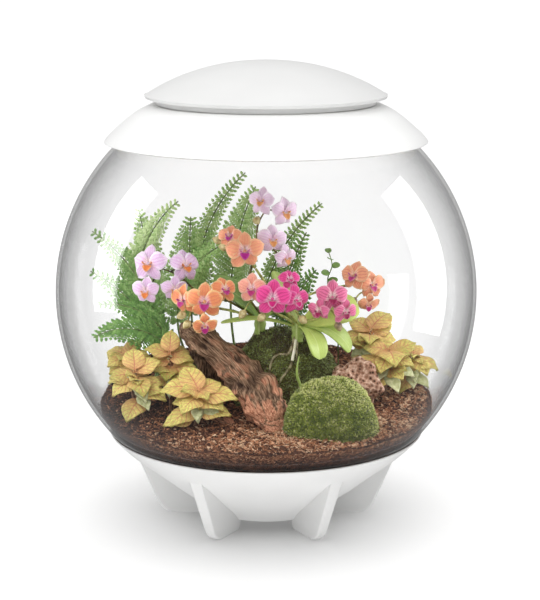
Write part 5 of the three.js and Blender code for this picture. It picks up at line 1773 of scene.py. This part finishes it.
@dataclass
class Spray:
    """A flower spike with its blooms and buds.

    Attributes:
        palette: the colours of its blooms.
        slot: the record's slot of its blooms; not used.
        stem: the spike's points, from its foot in a crown.
        rachis: the points that go on from the spike and carry the blooms.
        blooms: its blooms.
        buds: where its buds are.
    """

    palette: Palette
    slot: str
    stem: list[Point]
    rachis: list[Point]
    blooms: list[Bloom]
    buds: list[Point] = field(default_factory=list)
    spike_radius: float = 1.4
    rachis_radius: float = 1.15
    node_pitch: float = 28.0
    gap: float = 0.45
    bud_radius: float = 4.4
    stalk: Finish = GREEN_STALK
    bud: Finish = BUD

    def spike(self, name: str) -> None:
        """The spike: a slim stalk, swollen at a node halfway along each pitch."""
        path = smooth_path(self.stem, 60)
        reach = np.concatenate([[0], np.cumsum(np.linalg.norm(np.diff(path, axis=0), axis=1))])
        swell = np.exp(-((reach % self.node_pitch - self.node_pitch / 2) ** 2) / 3.0)
        radii = np.repeat((self.spike_radius * (0.86 + 0.3 * swell))[:, None], 8, axis=1)
        draft = Draft()
        draft.grid(carry(path, radii), closed=True)
        node = f"orchid_spike_{name}"
        make_piece(f"spike_{name}", draft, [self.stalk], node)

    def flower_stalks(self, draft: Draft, rachis: Array) -> None:
        """Adds a thin stalk from the nearest of three joints of the rachis to each bloom and bud."""
        joints = rachis[[len(rachis) // 3, 2 * len(rachis) // 3, -2]]
        for bloom in self.blooms:
            heading = heading_at(bloom.azimuth)
            behind, back = np.array(bloom.at) - heading * 5, np.array(bloom.at) - heading * 0.8
            start = joints[np.argmin(np.linalg.norm(joints - behind, axis=1))]
            draft.tube(smooth_path([tuple(start), tuple(behind), tuple(back)], 14), 0.85, 1.0, 6)
        for bud in self.buds:
            start = joints[np.argmin(np.linalg.norm(joints - np.array(bud), axis=1))]
            middle = (start + np.array(bud)) / 2 + np.array([0, 1, 3])
            draft.tube(smooth_path([tuple(start), tuple(middle), bud], 14), 0.8, 0.9, 6)

    def bud_skin(self, at: Point, start: Array) -> Array:
        """A bud: an egg that ends in a blunt point, grooved lightly where its sepals meet."""
        way = unit(np.array(at) - start + np.array([0, 0, -2.0]))
        share = np.linspace(0.02, 0.98, 14)
        path = np.array(at) + (share - 0.45)[:, None] * 2.3 * self.bud_radius * way
        profile = np.sin(math.pi * share**0.85)[:, None] ** 0.75
        return carry(path, self.bud_radius * 0.86 * profile * (1 - 0.06 * np.cos(3 * circle(18))))

    def build(self, name: str, seed: int) -> None:
        """Builds the spike and, as two pieces in one CAD node's place, stalks with buds, and petals."""
        self.spike(name)
        node = f"orchid_blooms_{name}"
        end = np.array(self.stem[-1])
        onward = end + unit(end - np.array(self.stem[-2])) * self.gap
        rachis = smooth_path([tuple(onward), *self.rachis], 40)
        stalks = Draft()
        stalks.tube(rachis, self.rachis_radius, self.rachis_radius * 0.6, 7)
        self.flower_stalks(stalks, rachis)
        for bloom in self.blooms:
            stalks.grid(bloom.column(), closed=True, finish=2)
        for bud in self.buds:
            stalks.grid(self.bud_skin(bud, rachis[len(rachis) // 2]), closed=True, finish=1)
        petals = self.palette.finishes()
        make_piece(f"flower_stalks_{name}", stalks, [self.stalk, self.bud, petals[0]], node)
        draft = Draft()
        for k, bloom in enumerate(self.blooms):
            bloom.add_to(draft, seed * 10 + k)
        make_piece(f"petals_{name}", draft, petals, node, Shell(thick=0.5))


@dataclass
class OrchidPlant:
    """A rosette: a crown stub in the moss, strap leaves, and air roots down the mound."""

    crown: Point
    leaves: list[Leaf]
    roots: list[float]
    # Painted light: how lit each leaf is painted, from 0 deep green in shade to 1 lime in light.
    tones: list[float]
    # Path, first and last radius, and the finish's number, of each young root or shoot
    shoots: list[tuple[list[Point], Pair, int]] = field(default_factory=list)
    crown_radius: float = 6.0
    sunk: float = 2.4

    def relief(self, t: Array, s: Array) -> Array:
        """Edges that wave by 0.4 mm."""
        return 0.4 * np.sin(5 * t) * s**2 + 0.25 * np.sin(11 * t + 2) * np.abs(s) ** 3

    def build(self, name: str, mound: Dome) -> None:
        """Builds the rosette: leaves as one piece, and the crown with its roots as another."""
        x, y, z = self.crown
        draft = Draft()
        for leaf, tone in zip(self.leaves, self.tones, strict=True):
            rim = heading_at(leaf.azimuth) * (self.crown_radius * 0.6 - self.sunk)
            base = np.array([x, y, z - 2]) + rim
            draft.grid(leaf.sheet(base, Outline.STRAP, (30, 13), 0.16, self.relief), tone)
        node = f"orchid_plant_{name}"
        make_piece(f"strap_leaves_{name}", draft, [ORCHID_LEAF], node, Shell(thick=1.3))
        crown = Draft()
        stub = smooth_path([(x, y, z - 16), (x, y, z - 8), (x, y, z + 3)], 16)
        sheath = 1 + 0.08 * np.sin(5 * np.linspace(0, 1, 16)[:, None] * math.pi + 2 * circle(16))
        crown.grid(carry(stub, self.crown_radius * 0.92 * sheath), closed=True, finish=1)
        for k, azimuth in enumerate(self.roots):
            crown.tube(self.root_path(azimuth, k, mound), 1.5, 1.0, 7)
        for path, radii, finish in self.shoots:
            crown.tube(smooth_path(path, 20), *radii, 8, finish=finish)
        make_piece(f"crown_{name}", crown, [AIR_ROOT, ORCHID_LEAF, ROOT_TIP], node)

    def root_path(self, azimuth: float, k: int, mound: Dome) -> Array:
        """An air root: out of the crown and down the side of the mound, swaying a little."""
        x, y, z = self.crown
        heading = heading_at(azimuth)
        side = np.array([-heading[1], heading[0], 0])
        out = self.crown_radius + np.linspace(6, 30, 7)
        sway = 3.5 * np.sin(np.linspace(0, 5, 7) + k)
        flat = np.array([x, y, 0]) + out[:, None] * heading + sway[:, None] * side
        off_centre = (flat[:, :2] - np.array(mound.at)) / np.array(mound.size[:2])
        share = np.clip(np.hypot(*off_centre.T), 0, 1)
        up = np.sqrt(1 - share**2) ** 0.85
        top = soil_height(*mound.at) - mound.sink + (mound.size[2] + mound.sink) * up
        flat[:, 2] = np.maximum(top, soil_height(flat[:, 0], flat[:, 1])) + 2.6
        return smooth_path([(x, y, z - 3), *map(tuple, flat)], 40)


ROSETTES = {
    "right": OrchidPlant(
        (30, -8, 190),
        [
            Leaf(28, 62, 62, 64, 31, 50), Leaf(6, 42, 20, 46, 15, 10), Leaf(-18, 24, 96, 62, 27, 14),
            Leaf(-58, 18, 92, 54, 22, -10), Leaf(186, 22, 34, 74, 15, 0), Leaf(148, 72, 26, 60, 21, 8),
        ],
        [-96, -128, 210],
        [1.0, 0.7, 0.62, 0.74, 0.75, 0.6],
        [
            ([(28, -20, 178), (26.6, -27, 170), (24.6, -33, 161)], (1.2, 1.5), 2),
            ([(33, -34, 135), (29, -38, 150), (31, -35, 165.8)], (1.7, 0.6), 1),
        ],
    ),
    "left": OrchidPlant(
        (-6, 20, 188),
        [
            Leaf(192, 68, 40, 76, 36, -30), Leaf(158, 58, 60, 58, 28, 0), Leaf(96, 34, 74, 62, 28, 0),
            Leaf(52, 48, 66, 56, 26, 0),
        ],
        [170, 130],
        [0.15, 0.25, 0.3, 0.45],
    ),
}
SPRAYS = {
    "lilac": Spray(
        LILAC,
        "lilac_petal",
        [(-9.3, 16.6, 189.5), (-12, 10.5, 194), (-38, 2, 212), (-68, -6, 224)],
        [(-86, -10, 240), (-100, -12, 246)],
        [
            Bloom((-110, -24, 253), -105, 10, 34), Bloom((-77, -16, 249), -62, 18, 32),
            Bloom((-113, -30, 228), -98, -5, 27), Bloom((-86, -26, 229), -80, -10, 26),
        ],
        stalk=STALK,
    ),
    "pale": Spray(
        PALE,
        "pale_petal",
        [(-2.4, 16.4, 189.5), (-5, 10, 196), (-18, -6, 222), (-9, 3, 262)],
        [(-8, 7, 284), (0, 7, 300)],
        [
            Bloom((-4, -4, 309), -110, 15, 26), Bloom((17, 0, 298), -60, 0, 29),
            Bloom((6, -8, 273), -80, 0, 28), Bloom((18, -6, 255), -50, -10, 25),
        ],
        [(-9, -2, 290)],
        stalk=STALK,
    ),
    "peach": Spray(
        PEACH, "peach_petal", [(25.8, -8.8, 191.5), (20, -12, 202), (8, -18, 220), (-10, -14, 246)],
        [(-20, -14, 258), (-29, -4, 264)],
        [Bloom((-20, -28, 266), -88, 5, 35), Bloom((-34, -12, 276), -105, 30, 25)],
        [(-46, -8, 272), (-40, -12, 266)],
    ),
    "orange": Spray(
        ORANGE,
        "orange_petal",
        [(-5.9, 15.6, 189.5), (-10, 6, 193), (-30, -12, 204), (-44, -26, 210)],
        [(-56, -34, 214), (-68, -28, 213)],
        [
            Bloom((-57, -49, 222), -92, 0, 35), Bloom((-77, -38, 221), -125, 0, 28),
            Bloom((-39, -40, 231), -66, 20, 26), Bloom((-57, -52, 200), -85, -32, 25),
        ],
        [(-79, -38, 206), (-74, -40, 198)],
    ),
    "salmon": Spray(
        SALMON, "salmon_petal", [(26.9, -12.3, 191.5), (20, -17, 198), (4, -24, 208), (-8, -30, 218)],
        [(-12, -32, 226)], [Bloom((-13, -40, 232), -100, 5, 28)], [(-22, -36, 207)],
    ),
    "magenta": Spray(
        MAGENTA,
        "magenta_petal",
        [(30.5, -12.6, 191.5), (24, -26, 203), (16, -32, 211)],
        [(14, -34, 218), (20, -30, 225)],
        [
            Bloom((6, -47, 224), -92, 5, 34), Bloom((28, -38, 221), -62, 0, 28),
            Bloom((22, -28, 238), -75, 32, 21),
        ],
        [(-4, -42, 205), (34, -42, 203)],
    ),
    "rose": Spray(
        ROSE,
        "magenta_petal",
        [(33.8, -11, 191.5), (38, -18, 196), (46, -29, 200), (58, -28, 208)],
        [(62, -26, 216)],
        [
            Bloom((62, -34, 223), -85, 5, 32), Bloom((50, -38, 211), -112, -10, 22),
            Bloom((74, -35, 209), -68, -12, 24),
        ],
        [(68, -30, 194)],
        bud=DARK_BUD,
    ),
    "right_peach": Spray(
        RUST,
        "peach_petal",
        [(29.6, -4.2, 191), (29.4, 1, 195), (30, 12, 202), (34, 26, 208), (58, 33, 216), (80, 24, 222)],
        [(91, 18, 224), (98, 15, 217)],
        [
            Bloom((85, 6, 235), -120, 20, 30), Bloom((101, 7, 226), -62, 5, 27),
            Bloom((98, 3, 208), -80, -30, 22),
        ],
        [(84, 6, 210)],
        bud=DARK_BUD,
    ),
}


@dataclass
class Orchids:
    """Both rosettes and the eight sprays that grow from them, by the ends of their CAD nodes' names."""

    plants: dict[str, OrchidPlant] = field(default_factory=ROSETTES.copy)
    sprays: dict[str, Spray] = field(default_factory=SPRAYS.copy)

    def build(self, mound: Dome) -> None:
        """Builds the rosettes and the sprays."""
        for name, plant in self.plants.items():
            plant.build(name, mound)
        for seed, (name, spray) in enumerate(self.sprays.items()):
            spray.build(name, seed)


# --- nerve plants


@dataclass
class NervePlant:
    """A nerve plant.

    Attributes:
        foot: where its stem stands in the soil.
        top: the stem's tip.
        leaves: azimuth, elevation, droop and length of each leaf, and how far down the stem it grows.
        tone: how light its leaves are.
        width: of a large leaf, as a share of its length.
        fill: least and greatest length of the small leaves.
        below_tip, stagger: how far down the stem leaves start, and how far apart, as shares of it.
        small_leaves, old_leaves: how many more grow between the large ones, and how many hang low.
        sunk: how far a large leaf starts behind the stem.
        room: the radius inside the globe that a small leaf at full length may reach.
    """

    foot: Pair
    top: Point
    leaves: list[tuple[float, float, float, float, float]]
    tone: float = 0.75
    width: float = 0.72
    fill: Pair = (18, 28)
    below_tip: float = 0.05
    stagger: float = 0.045
    small_leaves: int = 13
    old_leaves: int = 3
    sunk: float = 2.4
    room: float = 186.0

    def relief(self, t: Array, s: Array) -> Array:
        """A quilted blade: swellings of 0.35 mm between the side veins, and a waved edge."""
        quilt = 0.35 * np.abs(np.sin(math.pi * (SIDE_VEINS * t - VEIN_LEAN * np.abs(s)) / 2)) * (1 - s**2)
        return quilt + 1.9 * np.sin(9 * t + 1) * s**2 * np.abs(s) - 2.0 * s**4 * t

    def build(self, name: str, seed: int) -> None:
        """Builds the stem, its large leaves, and smaller ones between them."""
        draw = np.random.default_rng(seed)
        start = np.array([*self.foot, float(soil_height(*self.foot))])
        tip = np.array(self.top)
        draft = Draft()
        for k, (azimuth, elevation, droop, length, down) in enumerate(self.leaves):
            base = tip + (start - tip) * (down + self.below_tip + self.stagger * (k % 4))
            base = base - heading_at(azimuth) * self.sunk
            leaf = Leaf(azimuth, elevation, droop, length, length * self.width, 20 * heading_at(azimuth)[0])
            tone = float(np.clip(self.tone + draw.normal(0, 0.12), 0, 1))
            draft.grid(leaf.sheet(base, Outline.OVATE, (36, 15), 0.1, self.relief), tone)
        for k in range(self.small_leaves + self.old_leaves):
            old = k >= self.small_leaves
            azimuth = draw.uniform(-150, -30) if old else 137.5 * k + 40 * seed
            base = tip + (start - tip) * (draw.uniform(0.25, 0.5) if old else draw.uniform(0.0, 0.5))
            length = float(draw.uniform(*self.fill))
            if np.linalg.norm(base + heading_at(azimuth) * length - GLOBE_CENTRE) > self.room:
                length *= 0.6
            elevation, droop = (-4.0, 46.0) if old else draw.uniform([10, 40], [55, 80])
            width = length * (0.5 if old else 0.68)
            leaf = Leaf(azimuth, elevation, droop, length, width, 42 * heading_at(azimuth)[0])
            tone = float(np.clip(self.tone + draw.normal(0, 0.12), 0, 1))
            draft.grid(leaf.sheet(base, Outline.OVATE, (24, 11), 0.1, self.relief), tone, finish=int(old))
        node = f"nerve_plant_{name}"
        shell = Shell(thick=0.5, under=True)
        make_piece(f"netted_leaves_{name}", draft, [NERVE_LEAF, NERVE_UNDER], node, shell)
        stem = Draft()
        lower = start - UP * 8
        middle = (tip + start) / 2
        stem.tube(smooth_path([tuple(lower), tuple(start), tuple(middle), self.top], 30), 1.7, 1.2, 8)
        make_piece(f"nerve_stem_{name}", stem, [NERVE_STALK], node)


NERVE_PLANTS = {
    "front": NervePlant(
        (-66, -70),
        (-62, -74, 142),
        [
            (118, 58, 46, 36, 0), (48, 42, 60, 33, 0), (4, 30, 66, 42, 0.05), (-118, 12, 56, 33, 0),
            (168, 44, 86, 44, 0.05), (-32, 8, 46, 32, 0.1), (-12, 14, 34, 36, 0.42),
            (196, 4, 36, 36, 0.5), (-142, 4, 58, 36, 0.42),
        ],
    ),
    "left": NervePlant(
        (-116, -38),
        (-124, -42, 154),
        [
            (96, 56, 40, 32, 0), (34, 46, 50, 32, 0), (176, 16, 60, 32, 0), (-72, 12, 62, 33, 0),
            (-146, 4, 62, 32, 0.15), (-24, 10, 54, 34, 0.3), (-112, -4, 54, 34, 0.46),
        ],
    ),
    "upper": NervePlant(
        (-92, -16),
        (-92, -16, 166),
        [
            (88, 68, 30, 27, 0), (162, 44, 60, 30, 0), (-8, 26, 56, 27, 0), (-96, 12, 50, 28, 0.1),
            (-150, 8, 50, 27, 0.4),
        ],
        0.6,
    ),
    "far_left": NervePlant(
        (-128, 0), (-136, -2, 160),
        [(144, 34, 60, 27, 0), (58, 56, 40, 28, 0), (-140, 14, 50, 25, 0.1), (10, 10, 50, 26, 0.35)], 0.6,
    ),
    "right_back": NervePlant(
        (100, 46), (103, 43, 174),
        [(52, 52, 60, 38, 0), (128, 46, 56, 34, 0), (190, 24, 60, 33, 0), (-70, 10, 40, 22, 0.12)],
        fill=(22, 32), small_leaves=16,
    ),
    "right": NervePlant(
        (116, 20),
        (120, 19, 158),
        [
            (-84, 22, 60, 38, 0), (24, 40, 66, 33, 0), (-22, 16, 46, 30, 0.06), (198, 28, 62, 40, 0.1),
            (-118, -4, 44, 27, 0.45), (96, 40, 60, 26, 0.2),
        ],
        fill=(22, 32),
        small_leaves=16,
    ),
    "far_right": NervePlant(
        (138, 36), (146, 36, 148),
        [(86, 44, 56, 28, 0), (-62, 6, 56, 30, 0), (-6, 18, 76, 32, 0), (-120, -2, 50, 22, 0.5)],
    ),
}


@dataclass
class NervePlants:
    """All nerve plants, by what follows "nerve_plant_" in the names of their CAD nodes."""

    plants: dict[str, NervePlant] = field(default_factory=NERVE_PLANTS.copy)

    def build(self) -> None:
        """Builds every plant."""
        for seed, (name, plant) in enumerate(self.plants.items()):
            plant.build(name, seed)


@dataclass
class Vine:
    """The vine: a thin shoot with small leaves by turns at its upper joints."""

    foot: Pair = (72, 58)
    path: tuple[Point, ...] = ((70, 46, 176), (64, 40, 200), (60, 34, 226), (64, 32, 240), (60, 31, 256))
    joints: tuple[float, ...] = (0.66, 0.74, 0.82, 0.9, 0.97)

    def build(self) -> None:
        """Builds the shoot and its leaves."""
        ground = float(soil_height(*self.foot))
        stem = smooth_path([(*self.foot, ground - 6), (*self.foot, ground + 4), *self.path], 120)
        shoot = Draft()
        shoot.tube(stem, 0.9, 0.5, 6)
        make_piece("vine_shoot", shoot, [FERN_RIB], "vine")
        leaves = Draft()
        for k, share in enumerate(self.joints):
            base = stem[int(share * (len(stem) - 1))]
            leaf = Leaf(204 * k, 25, 20, 10.5, 6.5, 60 * heading_at(204 * k)[0])
            leaves.grid(leaf.sheet(base, Outline.OVAL, (12, 7), 0.15, lambda t, s: 0 * t * s), 0.5)
        make_piece("vine_leaves", leaves, [VINE_LEAF], "vine", Shell(thick=0.5))


# --- studio


@dataclass
class Studio:
    """The floor, the camera, the room's soft light and two tall soft lamps beside the object.

    The lamps stand where the camera's rays through the ends of their reflections in the globe go.
    The rays' places are pixels of the photograph's frame.
    """

    floor_reach: float = 60000.0
    camera_at: Point = (3.6075, -1564.465, 551.437)
    camera_tilt: float = 1.357477
    lens: float = 100.19
    sensor: float = 36.0
    frame_pixels: tuple[int, int] = (540, 600)
    lamp_distance: float = 1100.0
    # Inner and outer top corner, then inner and outer bottom corner, of each lamp's reflection
    left_reflection: tuple[tuple[int, int], ...] = ((158, 191), (141, 180), (115, 314), (92, 309))
    right_reflection: tuple[tuple[int, int], ...] = ((380, 193), (401, 181), (416, 333), (443, 334))
    lamp_strength: float = 7.0
    ceiling_strength: float = 1.6
    key_strength: float = 1.1
    spot_strength: float = 0.85
    low_strength: float = 1.8
    under_strength: float = 0.85
    room_strength: float = 0.55
    mouldings: ClassVar = ["base_moulding", "collar_ring", "lid_dome"]

    def floor(self) -> None:
        """The floor: a wide level sheet at the object's feet."""
        side = np.linspace(-self.floor_reach, self.floor_reach, 25)
        x, y = np.meshgrid(side, side)
        draft = Draft()
        draft.grid(np.stack([y, x, 0 * x], axis=-1))
        sheet = put("floor", draft.mesh("floor"))
        sheet.data.materials.append(PaleFloor().material())
        sheet.visible_glossy = False

    def camera(self) -> None:
        """The camera, at the photograph's place and angle."""
        data = bpy.data.cameras.new("camera")
        data.lens = self.lens
        data.sensor_width = self.sensor
        data.clip_end = 100.0
        view = put("camera", data)
        view.location = Vector(self.camera_at) * MM
        view.rotation_euler = (self.camera_tilt, 0, 0)
        bpy.context.scene.camera = view

    def mirrored(self, pixel: tuple[int, int]) -> Array:
        """Where the ray through a pixel ends, mirrored by the globe, at the lamps' distance."""
        tilt = self.camera_tilt
        ahead = np.array([0, math.sin(tilt), -math.cos(tilt)])
        upward = np.array([0, math.cos(tilt), math.sin(tilt)])
        scale = self.sensor / self.lens / max(self.frame_pixels)
        right = (pixel[0] - self.frame_pixels[0] / 2) * scale
        down = (pixel[1] - self.frame_pixels[1] / 2) * scale
        ray = unit(ahead + np.array([right, 0, 0]) - down * upward)
        start = np.array(self.camera_at) - GLOBE_CENTRE
        along = -start @ ray - math.sqrt((start @ ray) ** 2 - start @ start + GLOBE_RADIUS**2)
        normal = (start + along * ray) / GLOBE_RADIUS
        bounced = ray - 2 * (ray @ normal) * normal
        return GLOBE_CENTRE + GLOBE_RADIUS * normal + self.lamp_distance * bounced

    def lamp(self, name: str, reflection: Sequence[tuple[int, int]], strength: float) -> bpy.types.Object:
        """A flat lamp over the four places where the rays at the reflection's corners end."""
        inner_top, outer_top, inner_low, outer_low = (self.mirrored(pixel) for pixel in reflection)
        middle = (inner_top + outer_top + inner_low + outer_low) / 4
        tall = (inner_top + outer_top - inner_low - outer_low) / 2
        wide = (outer_top + outer_low - inner_top - inner_low) / 2
        data = bpy.data.lights.new(name, "AREA")
        data.shape = "RECTANGLE"
        data.size = float(np.linalg.norm(wide)) * MM
        data.size_y = float(np.linalg.norm(tall)) * MM
        data.energy = strength * math.pi * data.size * data.size_y
        lamp = put(name, data)
        lamp.location = Vector(middle) * MM
        back = unit(np.cross(wide, tall))
        if back @ (middle - GLOBE_CENTRE) < 0:
            back, wide = -back, -wide
        upward = unit(np.cross(back, unit(wide)))
        axes = np.stack([unit(np.cross(upward, back)), upward, back], axis=1)
        lamp.rotation_euler = Matrix(axes.tolist()).to_euler()
        return lamp

    def sky(
        self, name: str, azimuth: float, elevation: float, spread: float, strength: float
    ) -> bpy.types.Object:
        """A soft light from far away, kept out of mirrors as a room's bounce would be.

        Args:
            name: its name.
            azimuth: where it stands, in degrees from +X towards +Y.
            elevation: how high it stands, in degrees.
            spread: the angle that it fills, in degrees.
            strength: its irradiance, square on, in watts to the square metre.

        Returns:
            The light.
        """
        data = bpy.data.lights.new(name, "SUN")
        data.energy = strength
        data.angle = math.radians(spread)
        lamp = put(name, data)
        lamp.rotation_euler = (math.radians(90 - elevation), 0, math.radians(azimuth + 90))
        lamp.visible_glossy = False
        return lamp

    def flag(self, lamp: bpy.types.Object, names: Sequence[str], keep: bool = False) -> None:
        """Keeps a light off the named meshes, as a flag on a stand does, or, with keep, off all others."""
        lit = bpy.data.collections.new(f"lit_by_{lamp.name}")
        for piece in bpy.context.scene.objects:
            if piece.type == "MESH" and (piece.name in names) == keep:
                lit.objects.link(piece)
        lamp.light_linking.receiver_collection = lit

    def room(self) -> None:
        """The room's light: white from above and behind, dark on the camera's side and low down."""
        world = bpy.data.worlds.new("room")
        bpy.context.scene.world = world
        world.use_nodes = True
        tree = world.node_tree
        tree.nodes.clear()
        way = add_node(tree, "TexCoord", output="Generated")
        parts = add_node(tree, "SeparateXYZ", [way]).node.outputs
        ahead = add_node(tree, "MapRange", [parts["Y"], -0.8, 0.45, 0.06])
        upward = add_node(tree, "MapRange", [parts["Z"], -0.5, 0.1, 0.45])
        share = add_node(tree, "Math", [ahead, upward], operation="MULTIPLY")
        level = add_node(tree, "Math", [share, self.room_strength], operation="MULTIPLY")
        light = add_node(tree, "Background", {"Color": "#ffffff", "Strength": level})
        add_node(tree, "OutputWorld", {"Surface": light})

    def build(self) -> None:
        """Builds the studio."""
        bpy.context.scene.view_settings.view_transform = "Standard"
        self.floor()
        self.camera()
        for side, reflection in (("left", self.left_reflection), ("right", self.right_reflection)):
            strip = self.lamp(f"{side}_softbox", reflection, self.lamp_strength)
            self.flag(strip, ["floor", *self.mouldings])
        self.sky("ceiling", -90, 80, 80, self.ceiling_strength)
        self.flag(self.sky("key", -105, 38, 60, self.key_strength), ["floor"])
        self.flag(self.sky("spot", -100, 32, 50, self.spot_strength), ["floor", *self.mouldings])
        self.flag(self.sky("low_fill", -90, 8, 90, self.low_strength), ["collar_ring"], keep=True)
        under = self.sky("under_fill", -90, -60, 60, self.under_strength)
        self.flag(under, ["base_moulding"], keep=True)
        under.light_linking.blocker_collection = under.light_linking.receiver_collection
        self.room()


# --- assembly


def main() -> None:
    """Builds the object's sub-assemblies in order, then the studio."""
    logging.basicConfig(level=logging.INFO, format="%(name)s: %(message)s")
    Vessel().build()
    Soil().build()
    MOUND_MOSS.build()
    CUSHION_MOSS.build()
    Hardscape().build()
    Orchids().build(MOUND)
    NervePlants().build()
    Vine().build()
    Ferns().build()
    Studio().build()
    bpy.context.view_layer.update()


if __name__ == "__main__":
    main()
